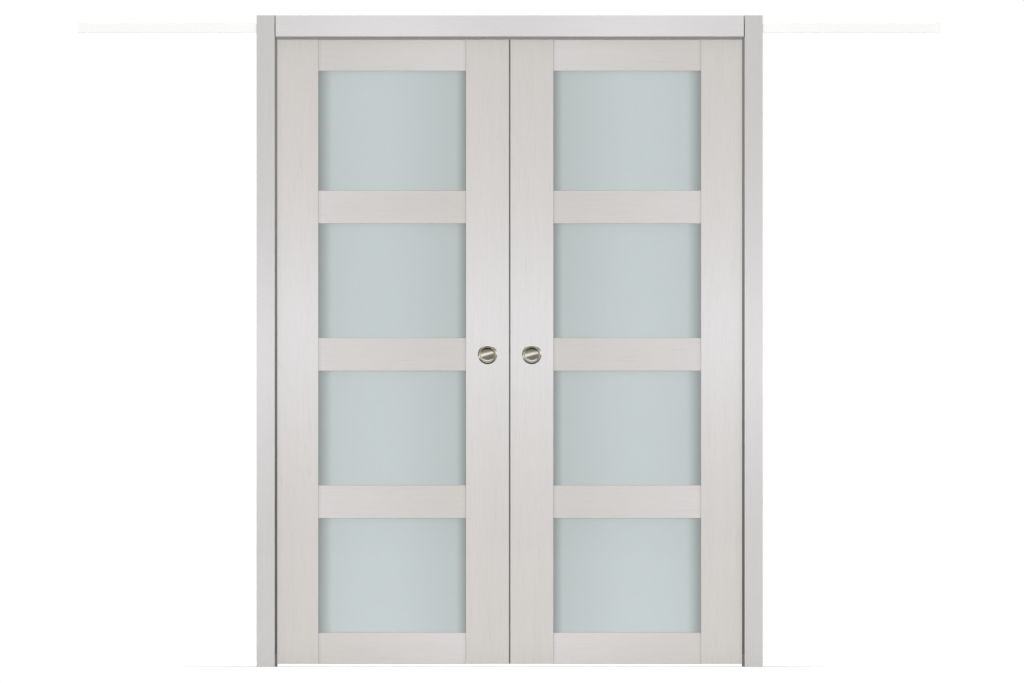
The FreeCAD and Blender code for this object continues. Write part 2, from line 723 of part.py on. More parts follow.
def wheel_pairs(side):
    """The two wheels on each axle pin, dished on the outside."""
    bore = "axle_diameter / 2 + axle_fit"
    tread = "wheel_diameter / 2"
    shoulder = "wheel_diameter / 2 - wheel_chamfer"
    near, far = "wheel_near", "wheel_far"
    half = (
        (bore, near),
        (shoulder, near),
        (tread, f"{near} + wheel_chamfer"),
        (tread, f"{far} - wheel_chamfer"),
        (shoulder, far),
        ("wheel_diameter / 2 - wheel_rim", far),
        ("wheel_diameter / 2 - wheel_rim", f"{far} - wheel_recess"),
        ("wheel_hub / 2", f"{far} - wheel_recess"),
        ("wheel_hub / 2", far),
        (bore, far),
    )
    mirrored = tuple((radius, f"-({y})") for radius, y in half)
    for name, centre in TROLLEYS.items():
        for axle, x in axle_spots(centre).items():
            label = f"{side}_{name}_{axle}_wheels"
            pair = body(f"{label}_pair")
            revolve(pair, (half, mirrored), "V_Axis")
            place(pair, x, "0", "axle_height")
            group([pair], label, side)


def hanger_bolts(side):
    """For each trolley a hexagon bolt with its lock nut, and the screws of its bracket."""
    pieces = []
    seat = "leaf_top + bracket_height - bracket_thickness"
    shank_top = "axle_height + carriage_height / 2 - bolt_end_room"
    for name, centre in TROLLEYS.items():
        prefix = f"{side}_{name}"
        head = hexagon(f"{prefix}_head", "bolt_head_flats", "bolt_head_height", centre, "0",
                       f"{seat} - bolt_head_height")
        shank = rod(f"{prefix}_shank", "bolt_diameter", f"{shank_top} - ({seat})", centre, "0", seat)
        pieces.append(joined("Part::Fuse", f"{prefix}_bolt", head, shank))
        nut_foot = "leaf_top + bracket_height"
        blank = hexagon(f"{prefix}_nut_blank", "bolt_head_flats", "nut_height", centre, "0", nut_foot)
        hole = rod(f"{prefix}_nut_hole", "bolt_diameter + 2 * bolt_fit", "nut_height", centre, "0", nut_foot)
        pieces.append(joined("Part::Cut", f"{prefix}_nut", blank, hole))
        for x, y in bracket_screw_spots(centre):
            screw_seat = "leaf_top + bracket_thickness"
            pieces.append(screw(f"{prefix}_screw", "bracket_screw_length", x, y, screw_seat))
    group(pieces, f"{side}_hanger_bolts", side)


def leaf(side):
    meeting_stile(side)
    pocket_stile(side)
    for piece in RAILS:
        rail(side, piece)
    glazing(side)
    dowels(side)
    for face in FACES:
        pull(side, face)
    edge_bumper(side)
    hanger_brackets(side)
    trolleys(side)
    hanger_bolts(side)
    wheel_pairs(side)


def track_screw_spots():
    return [f"track_screw_first + {step} * track_screw_pitch" for step in range(3)]


def track(side):
    """The C-shaped aluminium track, from the middle of the opening into the pocket."""
    rail_body = body(f"{side}_track")
    right = (
        ("track_slot / 2", "track_floor"),
        ("track_slot / 2", "track_foot"),
        ("track_half", "track_foot"),
        ("track_half", "track_top"),
    )
    right_inside = (
        ("track_inner_half", "track_ceiling"),
        ("track_inner_half", "track_floor"),
    )
    left = [(f"-({y})", z) for y, z in right[::-1]]
    left_inside = [(f"-({y})", z) for y, z in right_inside[::-1]]
    corners = (*right, *left, *left_inside, *right_inside)
    pad(rail_body, outline(sketch(rail_body, "YZ"), corners), "track_end")
    screw_spots = [(x, "0") for x in track_screw_spots()]
    drill(rail_body, "XY", "track_top", screw_spots, "screw_diameter + 2 * screw_fit", "track_web")
    last_hole = "track_end - pocket_hole_margin"
    pocket_spots = [(f"{last_hole} - pocket_hole_pitch", "0"), (last_hole, "0")]
    drill(rail_body, "XY", "track_top", pocket_spots, "pocket_hole_diameter", "track_web")
    part(rail_body, f"{side}_track", side)


def header_screw_spots(face):
    """Screws down through the header board: one to each side jamb and three to the head jamb."""
    y = signed(FACES[face], "jamb_middle")
    along = [f"{step} * header_screw_pitch" for step in (-1, 0, 1)]
    return [(x, y) for x in ("-(jamb_centre)", *along, "jamb_centre")]


def header_board():
    """The board over the opening that the tracks hang from."""
    board = body("header_board")
    plan = rectangle("-jamb_outer", "jamb_outer", "-jamb_face", "jamb_face")
    pad(board, outline(sketch(board, "XY", "track_top"), plan), "header_thickness")
    pilot = "screw_diameter + 2 * screw_fit"
    spots = [spot for face in FACES for spot in header_screw_spots(face)]
    drill(board, "XY", "header_top", spots, pilot, "header_thickness")
    drill(board, "XY", "header_top", spots, "screw_head + 2 * screw_fit", "header_sink")
    track_spots = [(f"{sign} * ({x})", "0") for sign in (-1, 1) for x in track_screw_spots()]
    drill(board, "XY", "track_top", track_spots, pilot, "track_screw_length - track_web", along=True)
    part(board, "header_board")


def header_screw_depth():
    return "header_screw_length - (header_thickness - header_sink)"


def side_jamb(side, face):
    """One strip of a split side jamb, with the peg holes of its guide."""
    label = f"{side}_jamb_{face}"
    strip = body(label)
    sign = face_sign(side, face)
    slot_face, room_face = signed(sign, "slot_half"), signed(sign, "jamb_face")
    plan = rectangle("opening_half", "jamb_outer", slot_face, room_face)
    pad(strip, outline(sketch(strip, "XY"), plan), "track_top")
    ease(strip, "arris", "z", x=("opening_half",), y=(slot_face,))
    pilot = "screw_diameter + 2 * screw_fit"
    screw_spot = [("jamb_centre", signed(sign, "jamb_middle"))]
    drill(strip, "XY", "track_top", screw_spot, pilot, header_screw_depth())
    peg_hole = "guide_peg_diameter + 2 * guide_peg_fit"
    depth = "guide_peg_length + guide_peg_fit"
    drill(strip, "XZ", signed(-sign, "slot_half"), guide_peg_spots(), peg_hole, depth, along=sign < 0)
    part(strip, label, side)


def head_jamb(face):
    """One strip of the split head jamb, between the side jambs."""
    label = f"head_jamb_{face}"
    strip = body(label)
    sign = FACES[face]
    slot_face, room_face = signed(sign, "slot_half"), signed(sign, "jamb_face")
    section = rectangle(slot_face, room_face, "head_foot", "track_top")
    pad(strip, outline(sketch(strip, "YZ", "-opening_half"), section), "2 * opening_half")
    ease(strip, "arris", "x", y=(slot_face,), z=("head_foot",))
    spots = header_screw_spots(face)[1:-1]
    drill(strip, "XY", "track_top", spots, "screw_diameter + 2 * screw_fit", header_screw_depth())
    part(strip, label)


def side_casing(side, face):
    """A flat side casing, rebated over the jamb so that it lies on the wall beside it."""
    label = f"{side}_casing_{face}"
    board = body(label)
    sign = face_sign(side, face)
    front = signed(sign, "casing_face")
    plan = (
        ("opening_half", signed(sign, "jamb_face")),
        ("jamb_outer", signed(sign, "jamb_face")),
        ("jamb_outer", signed(sign, "wall_half")),
        ("casing_outer", signed(sign, "wall_half")),
        ("casing_outer", front),
        ("opening_half", front),
    )
    pad(board, outline(sketch(board, "XY"), plan), "casing_top")
    ease(board, "casing_round", "z", x=("opening_half", "casing_outer"), y=(front,))
    part(board, label, side)


def head_casing(face):
    """The flat casing over the opening, between the side casings with an open joint at each end."""
    label = f"head_casing_{face}"
    board = body(label)
    sign = FACES[face]
    front = signed(sign, "casing_face")
    section = rectangle(signed(sign, "jamb_face"), front, "head_foot", "casing_top")
    half_length = "opening_half - casing_joint"
    drawing = outline(sketch(board, "YZ", f"-({half_length})"), section)
    pad(board, drawing, f"2 * ({half_length})")
    ease(board, "casing_round", "xz", y=(front,))
    part(board, label)


def brush_seals():
    """Brush seals in the reveal: up both jambs and along the head, front and back."""
    seals = []
    carrier_middle = "opening_half - seal_reach / 2"
    for side in SIDES:
        for face, sign in FACES.items():
            strip = body(f"{side}_{face}_seal")
            tip, root, far = (signed(sign, level) for level in ("pile_tip", "slot_half", "seal_far"))
            plan = (
                ("seal_inner", root),
                (f"{carrier_middle} - pile_thickness / 2", root),
                (f"{carrier_middle} - pile_thickness / 2", tip),
                (f"{carrier_middle} + pile_thickness / 2", tip),
                (f"{carrier_middle} + pile_thickness / 2", root),
                ("opening_half", root),
                ("opening_half", far),
                ("seal_inner", far),
            )
            drawing = outline(sketch(strip, "XY", "guide_top"), plan)
            pad(strip, drawing, "head_foot - guide_top")
            seals.append(on_side(strip, side))
    foot = "leaf_top + head_seal_clearance"
    middle = f"(head_foot + {foot}) / 2"
    for face, sign in FACES.items():
        strip = body(f"head_{face}_seal")
        tip, root, far = (signed(sign, level) for level in ("pile_tip", "slot_half", "seal_far"))
        section = (
            (root, foot),
            (root, f"{middle} - pile_thickness / 2"),
            (tip, f"{middle} - pile_thickness / 2"),
            (tip, f"{middle} + pile_thickness / 2"),
            (root, f"{middle} + pile_thickness / 2"),
            (root, "head_foot"),
            (far, "head_foot"),
            (far, foot),
        )
        drawing = outline(sketch(strip, "YZ", "-seal_inner"), section)
        pad(strip, drawing, "2 * seal_inner")
        seals.append(strip)
    group(seals, "brush_seals")


def guide_peg_spots():
    """The two pegs of a jamb guide, as X and Z."""
    return [
        ("jamb_centre", f"guide_middle + {row} * guide_peg_spacing / 2")
        for row in (-1, 1)
    ]


def jamb_guides():
    """Nylon guides pegged to the split jambs, which keep the foot of the leaf in line."""
    guides = []
    for side in SIDES:
        for face, sign in FACES.items():
            guide = body(f"{side}_{face}_guide")
            near = signed(sign, "leaf_half + guide_clearance")
            root, far = signed(sign, "slot_half"), signed(sign, "seal_far")
            plan = (
                ("seal_inner", near),
                ("jamb_outer", near),
                ("jamb_outer", root),
                ("opening_half", root),
                ("opening_half", far),
                ("seal_inner", far),
            )
            pad(guide, outline(sketch(guide, "XY", "guide_lift"), plan), "guide_height")
            pegs = sketch(guide, "XZ", signed(-sign, "slot_half"))
            circles(pegs, guide_peg_spots(), "guide_peg_diameter")
            pad(guide, pegs, "guide_peg_length", backward=sign > 0)
            guides.append(on_side(guide, side))
    group(guides, "jamb_guides")


def track_stops():
    """A stop at both ends of each track, with a rubber buffer on the side of the trolleys."""
    stops = []
    buffers = []
    half = "track_inner_half - stop_fit"
    closed_x = "closed_stop - buffer_length"
    open_x = "open_stop + buffer_length"
    blocks = {"closed": f"{closed_x} - stop_length", "open": open_x}
    pads = {"closed": closed_x, "open": "open_stop"}
    for side in SIDES:
        for name in blocks:
            stop = block(f"{side}_{name}_stop", blocks[name], f"-({half})", "track_floor",
                         "stop_length", f"2 * ({half})", "stop_height")
            rubber = rod(f"{side}_{name}_buffer", "buffer_diameter", "buffer_length", pads[name], "0",
                         "track_floor + stop_height / 2", AXIS_TO_X)
            stops.append(on_side(stop, side))
            buffers.append(on_side(rubber, side))
    group(stops, "track_stops")
    group(buffers, "stop_buffers")


def frame_screws():
    """Screws that hold the tracks to the header board and the header board to the jambs."""
    screws = []
    for face in FACES:
        for x, y in header_screw_spots(face):
            screws.append(screw("header_screw", "header_screw_length", x, y, "header_top - header_sink"))
    for sign in (-1, 1):
        for x in track_screw_spots():
            spot = f"{sign} * ({x})"
            screws.append(screw("track_screw", "track_screw_length", spot, "0", "track_ceiling", HEAD_DOWN))
    group(screws, "frame_screws")


def frame():
    for side in SIDES:
        track(side)
        for face in FACES:
            side_jamb(side, face)
            side_casing(side, face)
    header_board()
    for face in FACES:
        head_jamb(face)
        head_casing(face)
    brush_seals()
    jamb_guides()
    track_stops()
    frame_screws()


def check():
    """Every object is computed, every cut takes something away and every sub-part is sound."""
    for item in doc.Objects:
        if "Invalid" in item.State or "Error" in item.State:
            raise RuntimeError(f"{item.Name} failed: {item.State}")
        if item.isDerivedFrom("PartDesign::Pocket"):
            if item.Shape.Volume >= item.BaseFeature.Shape.Volume:
                raise RuntimeError(f"{item.Name} cuts nothing")
    for piece in sub_parts:
        if piece.Shape.isNull() or not piece.Shape.isValid():
            raise RuntimeError(f"{piece.Label} has no sound shape")


frame()
for leaf_side in SIDES:
    leaf(leaf_side)
doc.recompute()
check()
os.makedirs("parts", exist_ok=True)
for piece in sub_parts:
    piece.Shape.exportStep(f"parts/{piece.Label}.step")
print(f"{len(sub_parts)} sub-parts, {sum(len(piece.Shape.Solids) for piece in sub_parts)} solids")
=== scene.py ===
"""Dresses a double pocket door: grained boards, frosted glass, turned pulls, brush seals,
fasteners and a plain white studio, all built around the packed frame."""

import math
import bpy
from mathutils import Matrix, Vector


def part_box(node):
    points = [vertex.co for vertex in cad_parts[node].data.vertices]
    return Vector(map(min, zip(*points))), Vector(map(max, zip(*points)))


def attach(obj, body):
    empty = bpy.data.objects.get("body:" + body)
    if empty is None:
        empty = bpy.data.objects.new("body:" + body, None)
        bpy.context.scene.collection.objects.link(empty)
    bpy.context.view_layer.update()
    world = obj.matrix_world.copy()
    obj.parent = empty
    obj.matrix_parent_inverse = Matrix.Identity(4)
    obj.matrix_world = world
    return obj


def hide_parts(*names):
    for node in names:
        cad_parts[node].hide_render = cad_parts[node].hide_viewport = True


bl_info = {
    "name": "Double Pocket Door",
    "version": (1, 0, 0),
    "blender": (4, 5, 0),
    "location": "View3D > Sidebar > Door",
    "description": "Finishes a double pocket door and sets up its studio",
    "category": "Object",
}

from collections import namedtuple

import bmesh
import bpy
from bpy.props import FloatProperty, FloatVectorProperty, IntProperty, PointerProperty
from mathutils import Vector

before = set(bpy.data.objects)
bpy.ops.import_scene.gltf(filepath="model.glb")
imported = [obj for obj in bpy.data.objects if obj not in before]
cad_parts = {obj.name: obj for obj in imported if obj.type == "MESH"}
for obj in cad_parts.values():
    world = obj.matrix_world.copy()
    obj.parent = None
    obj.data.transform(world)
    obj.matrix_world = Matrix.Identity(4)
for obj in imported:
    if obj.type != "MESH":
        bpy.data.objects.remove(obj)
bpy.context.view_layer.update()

SIDES = ("left", "right")
# Each face of the wall, and the way that it looks along Y.
FACES = {"front": -1, "back": 1}
UPRIGHTS = ("meeting_stile", "pocket_stile")
RAILS = {
    "end_rail": ("top_rail", "bottom_rail"),
    "cross_rail": ("upper_rail", "middle_rail", "lower_rail"),
}
LEAF_FACE, LEAF_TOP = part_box("right_top_rail")[1].yz
LEAF_MIDDLE = sum(corner.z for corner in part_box("right_meeting_stile")) / 2
LITE_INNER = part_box("right_meeting_stile")[1].x
LITE_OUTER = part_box("right_pocket_stile")[0].x

# Points nearer than NEAR share one place, and doubles nearer than WELD are merged, in metres.
NEAR = 1e-5
WELD = 1e-6
ORIGIN = (0, 0, 0)
SMOOTH_ANGLE = math.radians(30)


def srgb(red, green, blue):
    """Scene linear colour of a screen colour from 0 to 255."""
    levels = (red / 255, green / 255, blue / 255)
    return tuple(v / 12.92 if v <= 0.04045 else ((v + 0.055) / 1.055) ** 2.4 for v in levels)


def colour(name, description, red, green, blue):
    return FloatVectorProperty(name=name, description=description, subtype="COLOR", size=3,
                               min=0.0, max=1.0, default=srgb(red, green, blue))


def length(name, description, metres):
    return FloatProperty(name=name, description=description, subtype="DISTANCE", unit="LENGTH",
                         min=0.0, default=metres, precision=4)


def share(name, description, amount):
    return FloatProperty(name=name, description=description, subtype="FACTOR",
                         min=0.0, max=1.0, default=amount)


def power(name, description, watts):
    return FloatProperty(name=name, description=description, unit="POWER", min=0.0, default=watts)


class BoardFinish(bpy.types.PropertyGroup):
    """Grained foil on the leaves and the frame."""

    # Stile, casing and head casing tones carry a painted sheen: paler at mid-height, or at the quarter
    # points of the head casing, and darker towards their ends.
    stile_end: colour("Stile ends", "Stiles near the head and the floor", 201, 197, 193)
    stile_middle: colour("Stile middle", "Stiles at the height of the pulls", 220, 218, 218)
    rail_pale: colour("Rails, pale end", "Paler end of the cross boards of the leaves", 211, 207, 206)
    rail_deep: colour("Rails, deep end", "Darker end of the cross boards of the leaves", 204, 200, 197)
    casing_end: colour("Casing ends", "Side casings near the head and the floor", 193, 192, 190)
    casing_middle: colour("Casing middle", "Side casings at mid-height", 217, 215, 216)
    head_end: colour("Head casing ends", "Head casing at its ends and its middle", 210, 208, 208)
    raw_wood: colour("Raw wood", "Header board and dowels", 205, 172, 126)
    glow_reach: length("Glow reach", "Height over which the paler middle fades", 0.43)
    stile_glow: length("Stile glow", "Height where the stiles are palest", 1.10)
    casing_glow: length("Casing glow", "Height where the side casings are palest", 1.03)
    # Painted shadow: this dark colour makes the lines along the meeting edge, at the ends of the head
    # casing and at the rail ends, where the open joints fall into shade.
    joint: colour("Joints", "Inside the open joints", 62, 60, 58)
    grain: share("Grain", "Strength of the grain", 0.4)
    arris: length("Arris", "Eased edge of the leaf boards", 0.0018)
    meeting_joint: length("Meeting joint", "Dark edge on each side of the centre line", 0.0023)
    casing_joint: length("Casing joint", "Dark line at each end of the head casing", 0.0036)
    rail_joint: length("Rail joint", "Soft shade at each end of the rails", 0.0125)
    rail_depth: share("Rail depth", "How dark the shade at each end of the rails is", 0.105)


class GlassFinish(bpy.types.PropertyGroup):
    """Frosted glass in the lites."""

    tint: colour("Tint", "Frosted glass where it is palest", 211, 220, 220)
    # Painted shade: beside the stiles, which shade the recessed glass, the panes turn to this darker
    # colour.
    edge: colour("Edge", "Glass beside the stiles", 158, 165, 164)
    inner_edge: length("Inner edge", "Where the dark edge by the meeting stile has faded out", 0.0305)
    outer_edge: length("Outer edge", "Where the dark edge by the pocket stile has faded out", 0.045)
    inner_drift: share("Inner drift", "How much darker the panes get towards the meeting stile", 0.108)
    inner_reach: length("Inner reach", "How far that goes from the meeting stile", 0.27)
    outer_drift: share("Outer drift", "How much darker the panes get towards the pocket stile", 0.044)
    outer_reach: length("Outer reach", "How far that goes from the pocket stile", 0.18)
    clearness: share("Clearness", "Light that passes through the panes", 0.30)
    channel: colour("Channel", "Glazing channels", 206, 209, 208)
    channel_clearness: share("Channel clearness", "Light that passes through the channels", 0.35)


class HardwareFinish(bpy.types.PropertyGroup):
    """Coated, plated and moulded hardware."""

    powder_coat: colour("Powder coat", "Tracks", 246, 246, 245)
    zinc: colour("Zinc", "Stops, brackets, trolleys and fasteners", 205, 206, 208)
    white_nylon: colour("White nylon", "Wheels", 232, 231, 226)
    grey_nylon: colour("Grey nylon", "Guides at the foot of the jambs", 112, 110, 107)
    rubber: colour("Rubber", "Buffers and edge bumpers", 30, 29, 29)


class PullSizes(bpy.types.PropertyGroup):
    """Round cup pulls."""

    mouth: length("Mouth", "Inside diameter at the rim", 0.050)
    depth: length("Depth", "Middle of the cup below the face of the leaf", 0.011)
    wall: length("Wall", "Thickness of the cup", 0.0012)
    proud: length("Proud", "Rim above the face of the leaf", 0.002)
    dish_radius: length("Dish radius", "Hollow floor of the cup", 0.060)
    dish_corner: length("Dish corner", "Round between wall and floor", 0.0045)
    back_corner: length("Back corner", "Round at the back of the cup", 0.009)
    rim_edge: length("Rim edge", "Outer edge of the rim above the face of the leaf", 0.0001)
    rim_slope: length("Rim slope", "Width of the sloping outer part of the rim", 0.0044)
    rim_round: length("Rim round", "Edge between the slope and the flat of the rim", 0.0004)
    lip_round: length("Lip round", "Inner edge of the rim", 0.0018)
    steps: IntProperty(name="Steps", description="Facets round the pull", default=96, min=24, max=256)
    nickel: colour("Nickel", "Satin nickel", 243, 239, 226)


class SealSizes(bpy.types.PropertyGroup):
    """Brush seals in the reveal."""

    reach: length("Reach", "Carrier into the opening", 0.008)
    depth: length("Depth", "Carrier through the wall", 0.010)
    groove: length("Groove", "Depth of the groove in the room face of the carrier", 0.0006)
    groove_margin: length("Groove margin", "Flat face on each side of the groove", 0.002)
    edge: length("Edge", "Round on the carrier", 0.0004)
    head_clearance: length("Head clearance", "Head seal over the leaf", 0.001)
    tuft_pitch: length("Tuft pitch", "Along the seal", 0.0020)
    tuft_root: length("Tuft root", "Radius of a tuft at the carrier", 0.0010)
    tuft_tip: length("Tuft tip", "Radius of a tuft at the leaf", 0.00045)
    tuft_stray: length("Tuft stray", "How far the tips of the tufts stray", 0.0005)
    row_gap: length("Row gap", "Between the two rows of tufts", 0.0014)
    tip_clearance: length("Tip clearance", "Tufts to the face of the leaf", 0.0006)
    carrier_top: colour("Carrier top", "Upright carrier strips by the head", 132, 130, 127)
    carrier_foot: colour("Carrier foot", "Upright carrier strips by the floor", 96, 94, 91)
    head_carrier: colour("Head carrier", "Carrier strips under the head", 147, 145, 142)
    pile: colour("Pile", "Brush fibres", 120, 118, 116)


class FastenerSizes(bpy.types.PropertyGroup):
    """Screws, bolts and lock nuts."""

    screw_shank: length("Screw shank", "Diameter of the wood screws", 0.004)
    screw_head: length("Screw head", "Height of the pan heads", 0.0024)
    screw_round: length("Screw round", "Edge of the pan heads", 0.00096)
    screw_neck: length("Screw neck", "Plain shank under the pan heads", 0.0015)
    screw_point: length("Screw point", "Length of the point", 0.004)
    screw_pitch: length("Screw pitch", "Thread of the wood screws", 0.0018)
    screw_thread: length("Screw thread", "Depth of that thread", 0.0005)
    recess_span: length("Recess span", "Cross recess, tip to tip", 0.0046)
    recess_slot: length("Recess slot", "Width of one arm of the cross", 0.0011)
    recess_depth: length("Recess depth", "Cross recess", 0.0014)
    bolt_shank: length("Bolt shank", "Diameter of the hanger bolts", 0.008)
    bolt_pitch: length("Bolt pitch", "Thread of the hanger bolts", 0.00125)
    bolt_thread: length("Bolt thread", "Depth of that thread", 0.0006)
    bolt_neck: length("Bolt neck", "Plain shank beside the hexagon heads", 0.004)
    bolt_head: length("Bolt head", "Height of the hexagon heads", 0.0053)
    bolt_end: length("Bolt end", "Length of the tapered end", 0.001)
    flats: length("Flats", "Hexagon across its flats", 0.013)
    chamfer: length("Chamfer", "Drop of the hexagon's corners", 0.0007)
    ease: length("Ease", "Broken edges of bolts and nuts", 0.0005)
    fine_ease: length("Fine ease", "Washer face of the bolts, upper edge of the nuts' holes", 0.0003)
    nut_hole: length("Nut hole", "Hole in the lock nuts", 0.0082)
    nut_collar: length("Nut collar", "Diameter of the round collar on the lock nuts", 0.0114)


class StudioSetup(bpy.types.PropertyGroup):
    """Camera, lights, floor and reflection cards."""

    camera_distance: length("Camera distance", "Camera to the middle of the door", 60.0)
    picture_width: length("Picture width", "Width seen at the door", 3.333)
    camera_x: length("Camera side shift", "Camera to the right of the centre line", 0.0076)
    camera_height: length("Camera height", "Camera over the floor", 1.0585)
    key_power: power("Key power", "Each large soft light", 6800.0)
    key_distance: length("Key distance", "Each large soft light to the door", 30.0)
    key_size: length("Key size", "Width of each large soft light", 2.6)
    side_power: power("Side power", "Each light beside the door, at the level of the floor", 700.0)
    top_power: power("Top power", "The light straight over the door", 300.0)
    edge_distance: length("Edge distance", "Each light at the sides and the top to the door", 9.0)
    edge_size: length("Edge size", "Width of the lights at the sides and the top", 1.0)
    fill: share("Fill", "Even light from all round", 0.40)
    floor_glow: share("Floor glow", "White that is added to the floor where the camera sees it", 0.31)
    floor_bounce: share("Floor bounce", "Light that the floor throws back at the door", 0.34)
    floor_size: length("Floor size", "Side of the floor", 16.0)
    floor_near: length("Floor near", "Where the floor starts to fade out", 2.2)
    floor_far: length("Floor far", "Where the floor is plain white", 4.5)
    low_card: share("Low card", "Grey card that the upper half of the nickel dishes reflects", 0.26)
    high_card: share("High card", "Grey card that the lower half of the nickel dishes reflects", 0.20)
    foot_card: share("Foot card", "Dark card that the lower rim of the pulls reflects", 0.03)
    side_card: share("Side card", "Dark card that one inner wall of the pulls reflects", 0.05)


SETTINGS = {
    "door_boards": BoardFinish,
    "door_glass": GlassFinish,
    "door_hardware": HardwareFinish,
    "door_pulls": PullSizes,
    "door_seals": SealSizes,
    "door_fasteners": FastenerSizes,
    "door_studio": StudioSetup,
}


class Graph:
    """A node tree with short ways to add and join nodes."""

    def __init__(self, tree):
        self.tree = tree

    def node(self, kind, inputs=None, **settings):
        made = self.tree.nodes.new(kind)
        for key, value in settings.items():
            setattr(made, key, value)
        self.fill(made.inputs, inputs or {})
        return made

    def feed(self, socket, value):
        """Joins a socket to an output, or sets it to a plain value."""
        if isinstance(value, bpy.types.NodeSocket):
            self.tree.links.new(value, socket)
        elif socket.type == "RGBA":
            socket.default_value = (*value, 1.0)
        else:
            socket.default_value = value

    def fill(self, sockets, values):
        """Feeds several sockets, by name or number."""
        for key, value in values.items():
            self.feed(sockets[key], value)

    def math(self, operation, first, second=0.0):
        return self.node("ShaderNodeMath", {0: first, 1: second}, operation=operation).outputs[0]

    def times(self, first, second):
        return self.math("MULTIPLY", first, second)

    def mix(self, factor, first, second, blend="MIX"):
        inputs = {"Factor": factor, "A": first, "B": second}
        made = self.node("ShaderNodeMix", inputs, data_type="RGBA", blend_type=blend)
        return made.outputs["Result"]

    def dimmed(self, tone, level):
        """A tone times a grey level. The tone is a colour, or a function that draws one here."""
        plain = tone(self) if callable(tone) else tone
        grey = self.node("ShaderNodeCombineColor", {"Red": level, "Green": level, "Blue": level})
        return self.mix(1.0, plain, grey.outputs["Color"], "MULTIPLY")

    def glow(self, tone, strength):
        return self.node("ShaderNodeEmission", {"Color": tone, "Strength": strength}).outputs[0]

    def span(self, value, low, high, start=0.0, end=1.0, smooth=False):
        """Maps a value from one range to another and clamps it."""
        inputs = dict(enumerate((value, low, high, start, end)))
        easing = "SMOOTHSTEP" if smooth else "LINEAR"
        return self.node("ShaderNodeMapRange", inputs, interpolation_type=easing).outputs["Result"]

    def between(self, mask, none, full):
        """A number that goes from none to full as a mask goes from 0 to 1."""
        return self.span(mask, 0.0, 1.0, none, full)

    def noise(self, vector, scale, detail, roughness, distortion=0.0):
        inputs = {"Vector": vector, "Scale": scale, "Detail": detail, "Roughness": roughness,
                  "Distortion": distortion}
        return self.node("ShaderNodeTexNoise", inputs).outputs["Fac"]

    def spot(self):
        """Object coordinates, in metres."""
        return self.node("ShaderNodeTexCoord").outputs["Object"]

    def place(self, location=ORIGIN, scale=(1, 1, 1)):
        """Object coordinates, moved and stretched by a Mapping node."""
        inputs = {"Vector": self.spot(), "Location": location, "Scale": scale}
        return self.node("ShaderNodeMapping", inputs).outputs["Vector"]

    def axis(self, letter):
        """One object coordinate."""
        return self.node("ShaderNodeSeparateXYZ", {"Vector": self.spot()}).outputs[letter]

    def away(self, letter):
        """How far a point is from the origin along one axis."""
        return self.math("ABSOLUTE", self.axis(letter))

    def bump(self, height, strength, distance):
        inputs = {"Height": height, "Strength": strength, "Distance": distance}
        return self.node("ShaderNodeBump", inputs).outputs["Normal"]

    def group(self, build, **inputs):
        """Places a shared group, which is built the first time that it is needed."""
        tree = bpy.data.node_groups.get(build.__name__) or build()
        named_inputs = {key.title(): value for key, value in inputs.items()}
        return self.node("ShaderNodeGroup", named_inputs, node_tree=tree).outputs


# The part of its range that a noise mostly keeps to.
NOISE_RANGE = (0.3, 0.7)


def shared_group(name, number, outputs):
    """An empty shader node group that takes a vector and a number and gives several numbers."""
    tree = bpy.data.node_groups.new(name, "ShaderNodeTree")
    tree.interface.new_socket("Vector", in_out="INPUT", socket_type="NodeSocketVector")
    tree.interface.new_socket(number, in_out="INPUT", socket_type="NodeSocketFloat")
    for label in outputs:
        tree.interface.new_socket(label, in_out="OUTPUT", socket_type="NodeSocketFloat")
    graph = Graph(tree)
    return graph, graph.node("NodeGroupInput").outputs, graph.node("NodeGroupOutput").inputs


def board_grain():
    """Long streaks and short pores, along the axis that the vector is squeezed on."""
    graph, given, result = shared_group("board_grain", "Coarseness", ("Streaks", "Pores", "Height"))
    broad_share = 0.55
    streak_height = 0.4

    def noise(scale, **settings):
        return graph.noise(given["Vector"], graph.times(given["Coarseness"], scale), **settings)

    broad = noise(scale=22.0, detail=3.0, roughness=0.55, distortion=0.4)
    fine = noise(scale=140.0, detail=4.0, roughness=0.6, distortion=0.2)
    pores = noise(scale=520.0, detail=2.0, roughness=0.5)
    streaks = graph.math("ADD", graph.times(broad, broad_share), graph.times(fine, 1.0 - broad_share))
    streaks = graph.span(streaks, low=0.32, high=0.68)
    pores = graph.span(pores, low=0.56, high=0.72)
    height = graph.math("SUBTRACT", graph.times(streaks, streak_height), pores)
    graph.fill(result, {"Streaks": streaks, "Pores": pores, "Height": height})
    return graph.tree


def fine_mottle():
    """The uneven skin of moulded or plated pieces: soft clouds and a finer grit."""
    graph, given, result = shared_group("fine_mottle", "Scale", ("Cloud", "Grit"))
    grit_scale = graph.times(given["Scale"], 14.0)
    cloud = graph.noise(given["Vector"], given["Scale"], detail=3.0, roughness=0.55)
    grit = graph.noise(given["Vector"], grit_scale, detail=2.0, roughness=0.6)
    for name, noise in (("Cloud", cloud), ("Grit", grit)):
        graph.feed(result[name], graph.span(noise, *NOISE_RANGE))
    return graph.tree


def material(name):
    """A new material, its graph and the sockets of its shader."""
    made = bpy.data.materials.new(name)
    made.use_nodes = True
    return made, Graph(made.node_tree), made.node_tree.nodes["Principled BSDF"].inputs


def both(*pieces):
    """The names of pieces that each side has."""
    return [f"{side}_{piece}" for side in SIDES for piece in pieces]


def faced(*pieces):
    """The names of pieces that each face of the wall has."""
    return [f"{piece}_{face}" for piece in pieces for face in FACES]


def finish(made, *nodes):
    """Puts a material on CAD nodes in place of the one they came with."""
    for name in nodes:
        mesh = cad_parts[name].data
        mesh.materials.clear()
        mesh.materials.append(made)


UPRIGHT_GRAIN = (1.0, 1.0, 0.03)
CROSS_GRAIN = (0.03, 1.0, 1.0)


